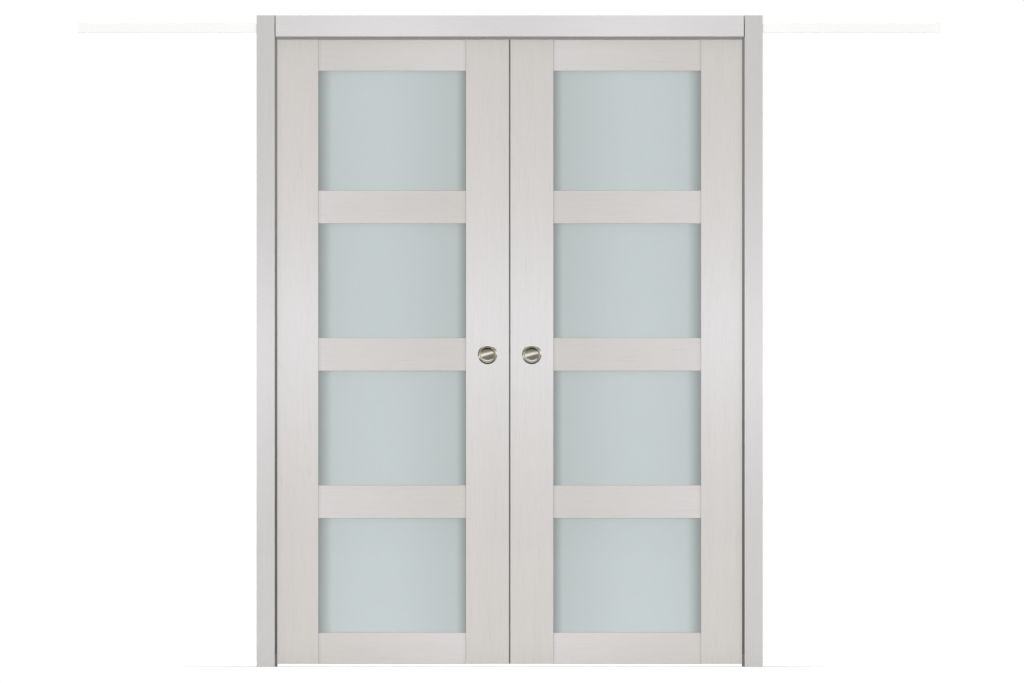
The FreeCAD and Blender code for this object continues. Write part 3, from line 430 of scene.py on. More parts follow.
def board_material(name, along, tone, strength, coarseness=1.0, roughness=0.46):
    """Grained foil or wood, with its grain along one axis."""
    made, graph, shader = material(name)
    grain = graph.group(board_grain, vector=graph.place(scale=along), coarseness=coarseness)
    streaks = graph.between(grain["Streaks"], none=1.0 - 0.10 * strength, full=1.0)
    pores = graph.between(grain["Pores"], none=1.0, full=1.0 - 0.16 * strength)
    graph.fill(shader, {
        "Base Color": graph.dimmed(tone, graph.times(streaks, pores)),
        "Roughness": graph.between(grain["Streaks"], none=roughness + 0.06, full=roughness - 0.04),
        "Normal": graph.bump(grain["Height"], strength=0.10 * strength, distance=0.0004),
        "Specular IOR Level": 0.35,
    })
    return made


def glow_up(ends, middle, height, reach):
    """A painted sheen: a tone that is palest at one height and fades evenly towards both ends."""

    def draw(graph):
        away = graph.math("DIVIDE", graph.math("SUBTRACT", graph.axis("Z"), height), reach)
        glow = graph.math("DIVIDE", 1.0, graph.math("ADD", graph.times(away, away), 1.0))
        return graph.mix(glow, ends, middle)

    return draw


def glow_along(ends, middle, half_length):
    """A painted highlight: a tone that is palest at both quarter points of a long cross board."""

    def draw(graph):
        wave = graph.math("COSINE", graph.times(graph.axis("X"), 2 * math.pi / half_length))
        return graph.mix(graph.span(wave, 1.0, -1.0), ends, middle)

    return draw


def fading(letter, low, high, first, second):
    """A tone that goes from one colour to another between two distances from the origin."""

    def draw(graph):
        return graph.mix(graph.span(graph.away(letter), low, high, smooth=True), first, second)

    return draw


def jointed(tone, low, high, dark, skin=0.0):
    """A tone with a painted shadow line where the distance from the middle of the door is low to high,
    and the distance from the middle of the wall is over skin."""

    def draw(graph):
        across = graph.away("X")
        above = graph.math("GREATER_THAN", across, low)
        below = graph.math("LESS_THAN", across, high)
        outside = graph.math("GREATER_THAN", graph.away("Y"), skin)
        return graph.mix(graph.times(graph.times(above, below), outside), tone(graph), dark)

    return draw


def shaded(tone, start, end, dark, depth):
    """A tone that is darker at start and clears up by end, both from the middle of the door."""

    def draw(graph):
        shade = graph.span(graph.away("X"), start, end, depth, 0.0, smooth=True)
        return graph.mix(shade, tone(graph), dark)

    return draw


class DOOR_OT_boards(bpy.types.Operator):
    """Puts grained foil on the leaf and frame boards, and raw wood on what it hides"""

    bl_idname = "door.boards"
    bl_label = "Finish boards"

    def leaves(self, look):
        # Painted sheen on the stiles, palest at mid-height, and a painted shadow line along the
        # meeting edge.
        stile = glow_up(look.stile_end, look.stile_middle, look.stile_glow, look.glow_reach)
        stile = jointed(stile, 0.0, look.meeting_joint, look.joint, skin=LEAF_FACE - look.arris)
        finish(board_material("stile_foil", UPRIGHT_GRAIN, stile, look.grain), *both(*UPRIGHTS))
        ends = {
            "end_rail": (look.rail_pale, look.rail_deep),
            "cross_rail": (look.rail_deep, look.rail_pale),
        }
        for name, pieces in RAILS.items():
            rail = fading("X", LITE_INNER, LITE_OUTER, *ends[name])
            rail = shaded(rail, LITE_INNER, LITE_INNER + look.rail_joint, look.joint, look.rail_depth)
            rail = shaded(rail, LITE_OUTER, LITE_OUTER - look.rail_joint, look.joint, look.rail_depth)
            finish(board_material(f"{name}_foil", CROSS_GRAIN, rail, look.grain), *both(*pieces))

    def surround(self, look):
        # Painted sheen on the side casings and jambs, palest at mid-height; painted highlights along
        # the head casing and a painted shadow line at its ends.
        casing = glow_up(look.casing_end, look.casing_middle, look.casing_glow, look.glow_reach)
        finish(board_material("side_casing_foil", UPRIGHT_GRAIN, casing, look.grain),
               *faced(*both("casing", "jamb")))
        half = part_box("head_casing_front")[1].x
        head = glow_along(look.head_end, look.casing_middle, half)
        head = jointed(head, half - look.casing_joint / 2, half + look.casing_joint, look.joint)
        finish(board_material("head_casing_foil", CROSS_GRAIN, head, look.grain),
               *faced("head_casing", "head_jamb"))

    def execute(self, context):
        look = context.scene.door_boards
        self.leaves(look)
        self.surround(look)
        raw = board_material("raw_pine", CROSS_GRAIN, look.raw_wood, strength=2.4, coarseness=0.7,
                             roughness=0.6)
        finish(raw, "header_board", *both("dowels"))
        return {"FINISHED"}


def moulded(name, tone, keep, roughness, scale=120.0, grit=0.06):
    """Moulded plastic, rubber or a coat, whose uneven skin keeps at least a share of its tone."""
    made, graph, shader = material(name)
    skin = graph.group(fine_mottle, vector=graph.place(), scale=scale)
    graph.fill(shader, {
        "Base Color": graph.dimmed(tone, graph.between(skin["Cloud"], none=keep, full=1.0)),
        "Roughness": graph.between(skin["Cloud"], none=roughness - 0.06, full=roughness + 0.06),
        "Normal": graph.bump(skin["Grit"], strength=grit, distance=0.0003),
    })
    return made


def frosted_glass(look):
    """Etched glass that is darker beside the stiles, a painted shade, and drifts a little over each
    pane.
    """
    made, graph, shader = material("frosted_glass")
    across = graph.away("X")

    def clearing(inner, outer, inner_start=0.0, outer_start=0.0, smooth=False):
        """Goes up to 1 away from the meeting stile, and away from the pocket stile."""
        return (graph.span(across, LITE_INNER, LITE_INNER + inner, inner_start, 1.0, smooth),
                graph.span(across, LITE_OUTER, LITE_OUTER - outer, outer_start, 1.0, smooth))

    # Painted shade: a mask that is 0 at the stiles, where the glass takes the edge colour.
    inside = graph.math("MINIMUM", *clearing(look.inner_edge, look.outer_edge))
    drift = graph.times(*clearing(look.inner_reach, look.outer_reach, 1.0 - look.inner_drift,
                                  1.0 - look.outer_drift, smooth=True))
    frost = graph.group(fine_mottle, vector=graph.place(), scale=60.0)
    cloud = graph.between(frost["Cloud"], none=0.985, full=1.0)
    frosted = graph.dimmed(look.tint, graph.times(cloud, drift))
    graph.fill(shader, {
        "Base Color": graph.mix(inside, look.edge, frosted),
        "Roughness": graph.between(frost["Grit"], none=0.34, full=0.44),
        "Normal": graph.bump(frost["Grit"], strength=0.04, distance=0.0003),
        "IOR": 1.5,
        "Transmission Weight": look.clearness,
    })
    return made


def clear_channel(look):
    """The smooth, clear plastic of the glazing channels."""
    made, graph, shader = material("clear_channel")
    cloud = graph.group(fine_mottle, vector=graph.place(), scale=90.0)["Cloud"]
    graph.fill(shader, {
        "Base Color": graph.dimmed(look.channel, graph.between(cloud, none=0.9, full=1.0)),
        "Roughness": graph.between(cloud, none=0.26, full=0.38),
        "Transmission Weight": look.channel_clearness,
    })
    return made


class DOOR_OT_glazing(bpy.types.Operator):
    """Frosts the panes and clears the glazing channels"""

    bl_idname = "door.glazing"
    bl_label = "Finish glazing"

    def execute(self, context):
        look = context.scene.door_glass
        finish(frosted_glass(look), *both("panes"))
        finish(clear_channel(look), *both("glazing_channels"))
        return {"FINISHED"}


def zinc_plate(tone):
    """Plated steel with fine lines along the way it was drawn."""
    made, graph, shader = material("zinc_plate")
    lines = graph.noise(graph.place(scale=(0.3, 1, 1)), scale=90.0, detail=3.0, roughness=0.6)
    lines = graph.span(lines, *NOISE_RANGE)
    cloud = graph.group(fine_mottle, vector=graph.place(), scale=14.0)["Cloud"]
    graph.fill(shader, {
        "Base Color": graph.dimmed(tone, graph.between(cloud, none=0.8, full=1.0)),
        "Metallic": 1.0,
        "Roughness": graph.between(lines, none=0.29, full=0.43),
        "Normal": graph.bump(lines, strength=0.05, distance=0.0002),
    })
    return made


class DOOR_OT_hardware(bpy.types.Operator):
    """Finishes the tracks, trolleys, wheels, brackets, guides and rubber pieces"""

    bl_idname = "door.hardware"
    bl_label = "Finish hardware"

    def execute(self, context):
        look = context.scene.door_hardware
        coat = moulded("white_powder_coat", look.powder_coat, keep=0.96, roughness=0.5, scale=300.0,
                       grit=0.02)
        finish(coat, *both("track"))
        finish(zinc_plate(look.zinc), "track_stops", *both("hanger_brackets", "trolleys"))
        wheels = [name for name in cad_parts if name.endswith("_wheels")]
        finish(moulded("white_nylon", look.white_nylon, keep=0.9, roughness=0.42), *wheels)
        finish(moulded("grey_nylon", look.grey_nylon, keep=0.82, roughness=0.5), "jamb_guides")
        rubber = moulded("black_rubber", look.rubber, keep=0.72, roughness=0.62, scale=180.0, grit=0.1)
        finish(rubber, "stop_buffers", *both("edge_bumper"))
        return {"FINISHED"}


def name_active(name):
    """Gives the active object and its mesh a name."""
    piece = bpy.context.active_object
    piece.name = name
    piece.data.name = name
    return piece


def start_from(kind, name, **sizes):
    """A new primitive at the origin, with all of it selected in edit mode."""
    bpy.ops.object.select_all(action="DESELECT")
    getattr(bpy.ops.mesh, f"primitive_{kind}_add")(location=ORIGIN, **sizes)
    piece = name_active(name)
    bpy.ops.object.mode_set(mode="EDIT")
    return piece


def pick(piece, wanted, kind="verts"):
    """In edit mode, selects the vertices or faces that the test wants, and no others."""
    bpy.ops.mesh.select_all(action="DESELECT")
    bpy.ops.mesh.select_mode(type={"verts": "VERT", "faces": "FACE"}[kind])
    mesh = bmesh.from_edit_mesh(piece.data)
    for item in getattr(mesh, kind):
        if wanted(item):
            item.select_set(True)
    mesh.select_flush_mode()
    bmesh.update_edit_mesh(piece.data)


def close_up(piece, smooth=SMOOTH_ANGLE):
    """Merges doubles, turns the faces outwards, and leaves edit mode with smooth shading."""
    bpy.ops.mesh.select_all(action="SELECT")
    bpy.ops.mesh.remove_doubles(threshold=WELD)
    bpy.ops.mesh.normals_make_consistent(inside=False)
    bpy.ops.object.mode_set(mode="OBJECT")
    bpy.ops.object.shade_smooth_by_angle(angle=smooth)
    return piece


def turned_piece(name, points, along, steps, rounds=None, segments=3, smooth=SMOOTH_ANGLE):
    """A body turned about an axis from points of radius and height, some of them rounded."""

    def place(point):
        radius, height = point
        return Vector((radius, 0.0, 0.0)) + height * Vector(along)

    piece = start_from("plane", name, size=0.001)
    bpy.ops.mesh.select_mode(type="VERT")
    bpy.ops.mesh.merge(type="CENTER")
    line = [place(point) for point in points]
    bpy.ops.transform.translate(value=line[0])
    for here, there in zip(line, line[1:]):
        bpy.ops.mesh.extrude_region_move(TRANSFORM_OT_translate={"value": there - here})
    for point, bend in (rounds or {}).items():
        pick(piece, lambda vert: (vert.co - place(point)).length < NEAR)
        bpy.ops.mesh.bevel(offset=bend, offset_type="OFFSET", segments=segments, affect="VERTICES")
    bpy.ops.mesh.select_all(action="SELECT")
    bpy.ops.mesh.spin(steps=steps, angle=2 * math.pi, center=ORIGIN, axis=along)
    return close_up(piece, smooth)


def make_active(piece):
    bpy.ops.object.select_all(action="DESELECT")
    piece.select_set(True)
    bpy.context.view_layer.objects.active = piece


def copy_piece(master, name, move, turned=None):
    """A copy with its own mesh, turned half round one axis if asked, and moved."""
    make_active(master)
    bpy.ops.object.duplicate()
    piece = name_active(name)
    bpy.ops.object.mode_set(mode="EDIT")
    bpy.ops.mesh.select_all(action="SELECT")
    if turned:
        bpy.ops.transform.rotate(value=math.pi, orient_axis=turned, center_override=ORIGIN)
    bpy.ops.transform.translate(value=move)
    bpy.ops.object.mode_set(mode="OBJECT")
    return piece


def discard(piece):
    make_active(piece)
    bpy.ops.object.delete()


def dress(piece, node, body):
    """Lets a piece stand for a CAD node, on a body."""
    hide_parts(node)
    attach(piece, body)


def apply_modifier(piece, kind, **settings):
    """Adds a modifier, sets it and applies it."""
    make_active(piece)
    added = piece.modifiers.new(kind.title(), kind)
    for key, value in settings.items():
        setattr(added, key, value)
    bpy.ops.object.modifier_apply(modifier=added.name)


def centre_of(node):
    low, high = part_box(node)
    return (low + high) / 2


def pull_nickel(name, tone, centre):
    """Satin nickel with the rings that turning leaves, centred on the pull."""
    made, graph, shader = material(name)
    spot = graph.place(location=(-centre.x, 0.0, -centre.z))
    inputs = {"Vector": spot, "Scale": 420.0, "Distortion": 0.8, "Detail": 2.0}
    rings = graph.node("ShaderNodeTexWave", inputs, wave_type="RINGS", rings_direction="Y")
    cloud = graph.group(fine_mottle, vector=spot, scale=70.0)["Cloud"]
    graph.fill(shader, {
        "Base Color": graph.dimmed(tone, graph.between(cloud, none=0.88, full=1.0)),
        "Metallic": 1.0,
        "Roughness": graph.between(cloud, none=0.13, full=0.21),
        "Normal": graph.bump(rings.outputs["Fac"], strength=0.03, distance=0.0002),
    })
    return made


# Points from the middle of the dish to its wall, the outer ones of which the round corner takes up.
DISH_POINTS = 12
CORNER_POINTS = 3


class DOOR_OT_pulls(bpy.types.Operator):
    """Turns a cup pull and puts copies of it on both faces of both leaves"""

    bl_idname = "door.pulls"
    bl_label = "Model pulls"

    def outline(self, sizes, rim):
        """The section from the back of the cup round the rim to the middle of the dish, as radius
        and depth behind the leaf's face, and the corners that are rounded."""
        inner = sizes.mouth / 2
        outer = inner + sizes.wall
        floor = sizes.depth + sizes.wall

        def dish(radius):
            rise = sizes.dish_radius - math.sqrt(sizes.dish_radius ** 2 - radius ** 2)
            return (radius, sizes.depth - rise)

        corner = dish(inner)
        back = (outer, floor)
        lip = (inner, -sizes.proud)
        brow = (rim - sizes.rim_slope, -sizes.proud)
        first = DISH_POINTS - CORNER_POINTS
        hollow = [dish(inner * step / DISH_POINTS) for step in range(first, -1, -1)]
        points = [(0.0, floor), back, (outer, 0.0), (rim, 0.0), (rim, -sizes.rim_edge),
                  brow, lip, corner, *hollow]
        rounds = {brow: sizes.rim_round, lip: sizes.lip_round, corner: sizes.dish_corner,
                  back: sizes.back_corner}
        return points, rounds

    def execute(self, context):
        sizes = context.scene.door_pulls
        low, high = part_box("right_front_pull")
        points, rounds = self.outline(sizes, (high.x - low.x) / 2)
        cup = turned_piece("cup", points, (0, 1, 0), sizes.steps, rounds, segments=6,
                           smooth=math.radians(40))
        for side in SIDES:
            nickel = pull_nickel(f"{side}_pull_nickel", sizes.nickel, centre_of(f"{side}_front_pull"))
            for face, outward in FACES.items():
                node = f"{side}_{face}_pull"
                place = centre_of(node)
                place.y = outward * LEAF_FACE
                turned = "Z" if face == "back" else None
                pull = copy_piece(cup, f"{side}_{face}_cup", place, turned)
                pull.data.materials.append(nickel)
                dress(pull, node, f"{side}_leaf")
        discard(cup)
        return {"FINISHED"}


class DOOR_OT_seals(bpy.types.Operator):
    """Models the brush seals: a grooved carrier strip and two rows of tufts for each"""

    bl_idname = "door.seals"
    bl_label = "Model brush seals"

    def carrier(self, name, low, high, sizes):
        """A strip between two corners, grooved on its front."""
        strip = start_from("cube", name, size=1.0)
        bpy.ops.transform.resize(value=high - low)
        bpy.ops.transform.translate(value=(low + high) / 2)
        pick(strip, lambda face: face.normal.y < -0.5, "faces")
        bpy.ops.mesh.inset(thickness=sizes.groove_margin, depth=-sizes.groove)
        bpy.ops.object.mode_set(mode="OBJECT")
        apply_modifier(strip, "BEVEL", width=sizes.edge, segments=2, limit_method="ANGLE")
        bpy.ops.object.shade_smooth_by_angle(angle=SMOOTH_ANGLE)
        return strip

    def brush(self, name, start, end, across, sizes):
        """Two staggered rows of tufts from start to end, which reach back towards the leaf."""
        reach = abs(start.y) - LEAF_FACE - sizes.tip_clearance
        run = end - start
        count = int(run.length / sizes.tuft_pitch)
        tufts = start_from("cone", name, vertices=5, radius1=sizes.tuft_root, radius2=sizes.tuft_tip,
                           depth=reach, end_fill_type="NGON")
        bpy.ops.transform.rotate(value=math.radians(90), orient_axis="X", center_override=ORIGIN)
        step = run.normalized() * sizes.tuft_pitch
        first = start + step / 4 - across * sizes.row_gap / 2
        first.y += reach / 2
        bpy.ops.transform.translate(value=first)
        bpy.ops.object.mode_set(mode="OBJECT")
        for copies, offset in ((2, across * sizes.row_gap + step / 2), (count, step)):
            apply_modifier(tufts, "ARRAY", count=copies, use_relative_offset=False,
                           use_constant_offset=True, constant_offset_displace=offset)
        bpy.ops.object.mode_set(mode="EDIT")
        tip = LEAF_FACE + sizes.tip_clearance
        pick(tufts, lambda vert: abs(abs(vert.co.y) - tip) < NEAR)
        bpy.ops.transform.vertex_random(offset=sizes.tuft_stray, seed=count)
        return close_up(tufts)

    def seal(self, name, low, high, run, across, sizes):
        """Carrier and pile of one seal on the front, between two corners, along run."""
        carrier = self.carrier(f"{name}_carrier", low, high, sizes)
        middle = (low + high) / 2
        middle.y = high.y
        along = run * (high - low).dot(run) / 2
        pile = self.brush(f"{name}_pile", middle - along, middle + along, across, sizes)
        return {"carrier": carrier, "pile": pile}

    def colour(self, sizes, upright, lintel):
        rising = fading("Z", 0.0, LEAF_TOP, sizes.carrier_foot, sizes.carrier_top)
        strip = moulded("seal_carrier", rising, keep=0.85, roughness=0.55)
        head_strip = moulded("head_seal_carrier", sizes.head_carrier, keep=0.85, roughness=0.55)
        brush = moulded("seal_pile", sizes.pile, keep=0.6, roughness=0.85, scale=400.0, grit=0.2)
        upright["carrier"].data.materials.append(strip)
        lintel["carrier"].data.materials.append(head_strip)
        for seal in (upright, lintel):
            seal["pile"].data.materials.append(brush)

    def execute(self, context):
        sizes = context.scene.door_seals
        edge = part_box("right_jamb_front")[0].x
        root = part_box("right_jamb_front")[1].y
        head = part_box("head_jamb_front")[0].z
        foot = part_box("jamb_guides")[1].z
        half = edge - sizes.reach
        front = root - sizes.depth
        up, right = Vector((0, 0, 1)), Vector((1, 0, 0))
        upright = self.seal("upright", Vector((half, front, foot)), Vector((edge, root, head)),
                            up, right, sizes)
        lintel = self.seal("lintel", Vector((-half, front, LEAF_TOP + sizes.head_clearance)),
                           Vector((half, root, head)), right, up, sizes)
        self.colour(sizes, upright, lintel)
        still = Vector()
        over = Vector((-half - edge, 0.0, 0.0))
        places = {
            "right_front": (upright, still, None),
            "left_front": (upright, over, None),
            "left_back": (upright, still, "Z"),
            "right_back": (upright, -over, "Z"),
            "head_front": (lintel, still, None),
            "head_back": (lintel, still, "Z"),
        }
        for part in ("carrier", "pile"):
            for name, (seal, move, turned) in places.items():
                piece = copy_piece(seal[part], f"{name}_seal_{part}", move, turned)
                dress(piece, "brush_seals", "frame")
            discard(upright[part])
            discard(lintel[part])
        return {"FINISHED"}


Solid = namedtuple("Solid", ("low", "high", "size", "head_up"))


def loose_solids(node):
    """The separate solids of a CAD node: each one's corners and size, and whether its widest part
    is in its upper half."""
    mesh = bmesh.new()
    mesh.from_mesh(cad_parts[node].data)
    bmesh.ops.remove_doubles(mesh, verts=mesh.verts, dist=NEAR)
    waiting = set(mesh.verts)
    solids = []
    while waiting:
        found = [waiting.pop()]
        for vert in found:
            linked = {edge.other_vert(vert) for edge in vert.link_edges} & waiting
            waiting -= linked
            found.extend(linked)
        low = Vector(min(vert.co[axis] for vert in found) for axis in range(3))
        high = Vector(max(vert.co[axis] for vert in found) for axis in range(3))
        middle = (low + high) / 2
        reach = [((vert.co - middle).xy.length, vert.co.z) for vert in found]
        widest = max(away for away, height in reach)
        ring = [height for away, height in reach if away > widest - NEAR]
        solids.append(Solid(low, high, high - low, sum(ring) / len(ring) > middle.z))
    mesh.free()
    return sorted(solids, key=lambda solid: tuple(solid.low))


UP = (0, 0, 1)
# Half the angle between two corners of a hexagon.
HALF_FLAT = math.radians(30)
# The bottom of a cross recess against its mouth, along an arm, across it and upright.
RECESS_TAPER = (0.45, 0.6, 1.0)
# The tip of a bolt against its shank, the round faces of a hexagon against its flats, and the
# height of a lock nut's hexagon against the nut.
BOLT_TIP = 0.8
ROUND_FACE = 0.95
NUT_BROW = 0.68


class DOOR_OT_fasteners(bpy.types.Operator):
    """Models the cross-head screws, hexagon bolts and lock nuts where the frame has them"""

    bl_idname = "door.fasteners"
    bl_label = "Model fasteners"

    def thread(self, radius, depth, pitch, start, end):
        """The zigzag edge of a thread between two heights."""
        count = int(abs(end - start) / pitch)
        step = (end - start) / (2 * count)
        radii = (radius - depth, radius)
        return [(radii[turn % 2], start + turn * step) for turn in range(2 * count + 1)]

    def combine(self, piece, other, operation):
        apply_modifier(piece, "BOOLEAN", object=other, operation=operation, solver="EXACT")
        discard(other)

    def screw(self, sizes, box):
        """A pan head screw, as wide and tall as a box, with its point on the origin."""
        shank = sizes.screw_shank / 2
        head = box.x / 2
        seat = box.z - sizes.screw_head
        edge = (head, box.z)
        run = self.thread(shank, sizes.screw_thread, sizes.screw_pitch, seat - sizes.screw_neck,
                          sizes.screw_point)
        points = [(0.0, box.z), edge, (head, seat), (shank, seat), *run, (0.0, 0.0)]
        screw = turned_piece("screw", points, UP, steps=16, rounds={edge: sizes.screw_round})
        mouth = (sizes.recess_span, sizes.recess_slot, 2 * sizes.recess_depth)
        for turn in (0, 90):
            arm = start_from("cube", "recess_arm", size=1.0)
            bpy.ops.transform.resize(value=mouth)
            pick(arm, lambda vert: vert.co.z < 0)
            bpy.ops.transform.resize(value=RECESS_TAPER, center_override=ORIGIN)
            bpy.ops.mesh.select_all(action="SELECT")
            bpy.ops.transform.rotate(value=math.radians(turn), orient_axis="Z", center_override=ORIGIN)
            bpy.ops.transform.translate(value=(0, 0, box.z))
            bpy.ops.object.mode_set(mode="OBJECT")
            self.combine(screw, arm, "DIFFERENCE")
        return screw

    def radii(self, sizes):
        """A hexagon's corners and the edge of its round faces, from its axis."""
        return sizes.flats / 2 / math.cos(HALF_FLAT), ROUND_FACE * sizes.flats / 2

    def hexagon(self, name, points, sizes, height):
        """A blank turned from points and cut to six flats, with two corners along X."""
        blank = turned_piece(name, points, UP, steps=48)
        corner, _ = self.radii(sizes)
        prism = start_from("cylinder", "prism", vertices=6, radius=corner, depth=2 * height)
        bpy.ops.transform.rotate(value=HALF_FLAT, orient_axis="Z", center_override=ORIGIN)
        bpy.ops.transform.translate(value=(0, 0, height / 2))
        bpy.ops.object.mode_set(mode="OBJECT")
        self.combine(blank, prism, "INTERSECT")
        return blank

    def bolt(self, sizes, box):
        """A hexagon bolt, as tall as a box, that stands on its head on the origin."""
        corner, flat = self.radii(sizes)
        shank = sizes.bolt_shank / 2
        seat = sizes.bolt_head
        neck = seat + sizes.bolt_neck
        points = [(0.0, 0.0), (flat, 0.0), (corner, sizes.chamfer), (corner, seat - sizes.ease),
                  (flat, seat - sizes.fine_ease), (flat, seat), (0.0, seat)]
        bolt = self.hexagon("bolt", points, sizes, seat)
        run = self.thread(shank, sizes.bolt_thread, sizes.bolt_pitch, neck + sizes.ease,
                          box.z - sizes.bolt_end)
        points = [(0.0, seat / 2), (shank, seat / 2), (shank, neck), *run,
                  (BOLT_TIP * shank, box.z), (0.0, box.z)]
        self.combine(bolt, turned_piece("bolt_rod", points, UP, steps=24), "UNION")
        return bolt

    def nut(self, sizes, box):
        """A lock nut on the origin, as tall as a box, with a round collar on top."""
        corner, flat = self.radii(sizes)
        hole, collar = sizes.nut_hole / 2, sizes.nut_collar / 2
        ease, fine_ease = sizes.ease, sizes.fine_ease
        brow = NUT_BROW * box.z
        points = [(hole, ease), (hole + ease, 0.0), (flat, 0.0), (corner, sizes.chamfer),
                  (corner, brow - sizes.chamfer), (flat, brow), (collar, brow),
                  (collar, box.z - ease), (collar - ease, box.z), (hole + fine_ease, box.z),
                  (hole, box.z - fine_ease), (hole, ease)]
        return self.hexagon("nut", points, sizes, box.z)

    def lay_out(self, model, sizes, node, kind, solids, body, turned=None):
        """Models one fastener to suit the first solid, and puts a copy in the place of each."""
        master = model(sizes, solids[0].size)
        make_active(master)
        bpy.ops.object.mode_set(mode="EDIT")
        bpy.ops.mesh.select_all(action="SELECT")
        bpy.ops.mesh.remove_doubles(threshold=NEAR)
        bpy.ops.mesh.dissolve_degenerate(threshold=NEAR)
        bpy.ops.object.mode_set(mode="OBJECT")
        bpy.ops.object.shade_smooth_by_angle(angle=SMOOTH_ANGLE)
        master.data.materials.append(bpy.data.materials["zinc_plate"])
        for count, solid in enumerate(solids, 1):
            place = (solid.low + solid.high) / 2
            place.z = solid.high.z if turned else solid.low.z
            piece = copy_piece(master, f"{body}_{kind}_{count}", place, turned)
            dress(piece, node, body)
        discard(master)

    def execute(self, context):
        sizes = context.scene.door_fasteners
        screws = loose_solids("frame_screws")
        upright = [solid for solid in screws if solid.head_up]
        hanging = [solid for solid in screws if not solid.head_up]
        self.lay_out(self.screw, sizes, "frame_screws", "header_screw", upright, "frame")
        self.lay_out(self.screw, sizes, "frame_screws", "track_screw", hanging, "frame", "X")
        for node, body in zip(both("hanger_bolts"), both("leaf")):
            solids = loose_solids(node)
            slim = [solid for solid in solids if solid.size.x <= sizes.flats]
            wide = [solid for solid in solids if solid.size.x > sizes.flats]
            tall = [solid for solid in wide if solid.size.z > sizes.flats]
            flat = [solid for solid in wide if solid.size.z <= sizes.flats]
            self.lay_out(self.screw, sizes, node, "bracket_screw", slim, body)
            self.lay_out(self.bolt, sizes, node, "hanger_bolt", tall, body)
            self.lay_out(self.nut, sizes, node, "lock_nut", flat, body)
        return {"FINISHED"}


WHITE = (1.0, 1.0, 1.0)
# The grey cards are a little warm.
CARD_TINT = (1.0, 0.98, 0.92)


def background_rays(graph):
    """1 for camera, glossy and transmission rays, which see the plain white backdrop."""
    path = graph.node("ShaderNodeLightPath").outputs
    seen = graph.math("MAXIMUM", path["Is Camera Ray"], path["Is Glossy Ray"])
    return graph.math("MAXIMUM", seen, path["Is Transmission Ray"])


def stage_material(name, draw):
    """A material for the stage, whose surface is drawn in its graph."""
    made = bpy.data.materials.new(name)
    made.use_nodes = True
    made.node_tree.nodes.clear()
    graph = Graph(made.node_tree)
    graph.node("ShaderNodeOutputMaterial", {"Surface": draw(graph)})
    return made


def hide_from(thing, *rays):
    """Keeps an object out of the sight of some kinds of rays."""
    for kind in rays:
        setattr(thing, f"visible_{kind}", False)


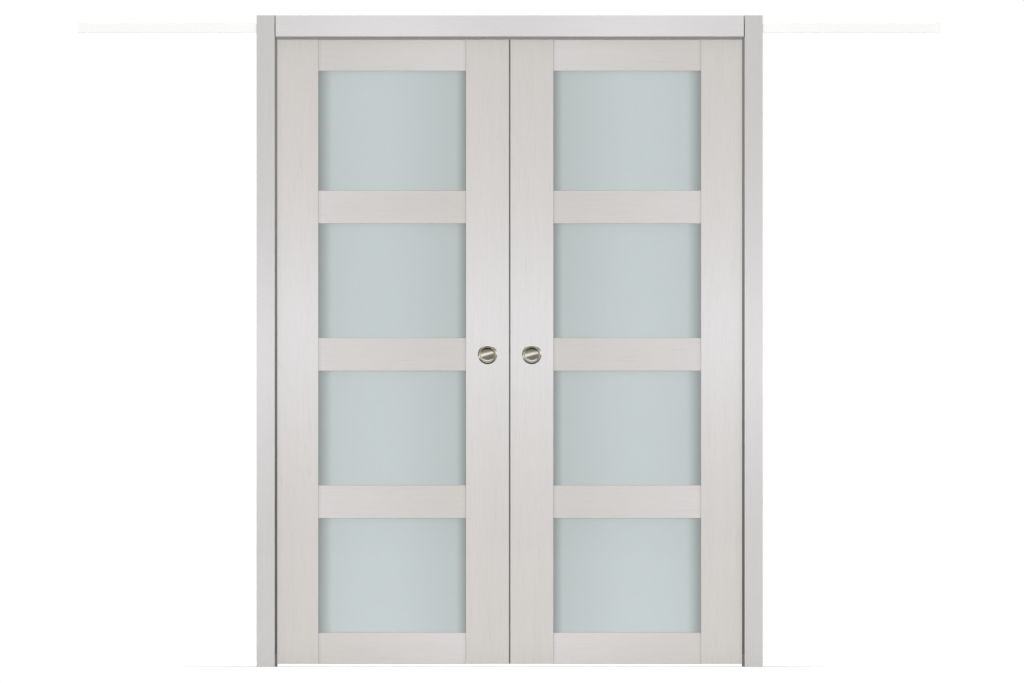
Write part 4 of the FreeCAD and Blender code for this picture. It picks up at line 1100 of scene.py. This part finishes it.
class DOOR_OT_studio(bpy.types.Operator):
    """Sets up the white studio: floor, world, soft lights, reflection cards and the camera"""

    bl_idname = "door.studio"
    bl_label = "Set up studio"

    def world(self, scene, setup):
        world = bpy.data.worlds.new("studio_white")
        world.use_nodes = True
        graph = Graph(world.node_tree)
        strength = graph.between(background_rays(graph), none=setup.fill, full=1.0)
        graph.fill(world.node_tree.nodes["Background"].inputs, {"Color": WHITE, "Strength": strength})
        scene.world = world

    def floor(self, setup):
        """A pale floor that keeps the shadows and fades to plain white further out."""

        def draw(graph):
            away = graph.node("ShaderNodeVectorMath", {0: graph.spot()}, operation="LENGTH")
            far = graph.span(away.outputs["Value"], setup.floor_near, setup.floor_far, smooth=True)
            seen = background_rays(graph)
            glow = graph.times(graph.between(far, none=setup.floor_glow, full=1.0), seen)
            bounce = graph.between(seen, none=setup.floor_bounce, full=1.0)
            level = graph.times(graph.between(far, none=1.0, full=0.0), bounce)
            matt = graph.node("ShaderNodeBsdfDiffuse", {"Color": graph.dimmed(WHITE, level)})
            inputs = {0: graph.glow(WHITE, glow), 1: matt.outputs[0]}
            return graph.node("ShaderNodeAddShader", inputs).outputs[0]

        floor = start_from("plane", "studio_floor", size=setup.floor_size)
        bpy.ops.object.mode_set(mode="OBJECT")
        floor.data.materials.append(stage_material("studio_floor_white", draw))

    def soft_light(self, name, power, place, size):
        """A round light, out of the camera's sight, that shines at the middle of the door."""
        data = bpy.data.lights.new(name, "AREA")
        data.shape = "DISK"
        data.size = size
        data.energy = power
        lamp = bpy.data.objects.new(name, data)
        lamp.location = place
        way = Vector((0.0, 0.0, LEAF_MIDDLE)) - lamp.location
        lamp.rotation_euler = way.to_track_quat("-Z", "Y").to_euler()
        hide_from(lamp, "camera", "glossy", "transmission")
        bpy.context.scene.collection.objects.link(lamp)

    def lights(self, setup):
        far, near = setup.key_distance, setup.edge_distance
        lamps = {
            "front": ((0, -far, LEAF_MIDDLE), setup.key_power, setup.key_size),
            "back": ((0, far, LEAF_MIDDLE), setup.key_power, setup.key_size),
            "left": ((-near, 0, 0), setup.side_power, setup.edge_size),
            "right": ((near, 0, 0), setup.side_power, setup.edge_size),
            "top": ((0, 0, LEAF_MIDDLE + near), setup.top_power, setup.edge_size),
        }
        for name, (place, power, size) in lamps.items():
            self.soft_light(f"{name}_softbox", power, place, size)

    def card(self, name, corners, tone):
        """A grey card that only shows in reflections, to give the turned nickel its contrast."""
        card = start_from("plane", name, size=1.0)
        bpy.ops.object.mode_set(mode="OBJECT")
        for vert, corner in zip(card.data.vertices, corners):
            vert.co = corner
        grey = [tone * part for part in CARD_TINT]
        card.data.materials.append(stage_material(f"{name}_grey", lambda graph: graph.glow(grey, 1.0)))
        hide_from(card, "camera", "diffuse", "transmission", "shadow", "volume_scatter")

    def cards(self, setup):
        """Puts up four cards before each face. Their corners are X, the way out from the middle of
        the wall, and Z. A bright band slants between the low and the high card."""
        half_width = 2.0
        far, bend, near = 1.5, 1.12, 0.10
        foot, top = 0.35, 2.2
        low_ends, high_ends = (0.34, 1.09), (0.57, 1.72)
        side, side_reach, side_rise = -1.0, (0.68, 0.05), (0.1, 1.9)

        def edge(away, left, right):
            return [(-half_width, away, left), (half_width, away, right)]

        cards = {
            "low_card": edge(far, *low_ends) + edge(bend, foot, foot),
            "foot_card": edge(bend, foot, foot) + edge(near, foot, foot),
            "high_card": edge(far, *high_ends) + edge(far, top, top),
            "side_card": [(side, away, height) for height in side_rise for away in side_reach],
        }
        for face, outward in FACES.items():
            for name, corners in cards.items():
                turned = [(-outward * x, outward * y, z) for x, y, z in corners]
                self.card(f"{face}_{name}", turned, getattr(setup, name))

    def camera(self, scene, setup):
        data = bpy.data.cameras.new("photo_camera")
        data.lens = data.sensor_width * setup.camera_distance / setup.picture_width
        camera = bpy.data.objects.new("photo_camera", data)
        camera.location = (setup.camera_x, -setup.camera_distance, setup.camera_height)
        camera.rotation_euler = (math.radians(90), 0.0, 0.0)
        scene.collection.objects.link(camera)
        scene.camera = camera

    def execute(self, context):
        scene = context.scene
        setup = scene.door_studio
        scene.view_settings.view_transform = "Standard"
        self.world(scene, setup)
        self.floor(setup)
        self.lights(setup)
        self.cards(setup)
        self.camera(scene, setup)
        return {"FINISHED"}


STEPS = (
    DOOR_OT_boards,
    DOOR_OT_glazing,
    DOOR_OT_hardware,
    DOOR_OT_pulls,
    DOOR_OT_seals,
    DOOR_OT_fasteners,
    DOOR_OT_studio,
)


class VIEW3D_PT_door(bpy.types.Panel):
    """Sizes, colours and steps of the door"""

    bl_label = "Double Pocket Door"
    bl_idname = "VIEW3D_PT_door"
    bl_space_type = "VIEW_3D"
    bl_region_type = "UI"
    bl_category = "Door"

    def draw(self, context):
        for step in STEPS:
            self.layout.operator(step.bl_idname)
        for key, group in SETTINGS.items():
            box = self.layout.box()
            box.label(text=group.__doc__)
            for name in group.__annotations__:
                box.prop(getattr(context.scene, key), name)


CLASSES = (*SETTINGS.values(), *STEPS, VIEW3D_PT_door)


def register():
    for item in CLASSES:
        bpy.utils.register_class(item)
    for key, group in SETTINGS.items():
        setattr(bpy.types.Scene, key, PointerProperty(type=group))


def unregister():
    for key in SETTINGS:
        delattr(bpy.types.Scene, key)
    for item in reversed(CLASSES):
        bpy.utils.unregister_class(item)


def main():
    register()
    for step in STEPS:
        family, name = step.bl_idname.split(".")
        getattr(getattr(bpy.ops, family), name)()


if __name__ == "__main__":
    main()
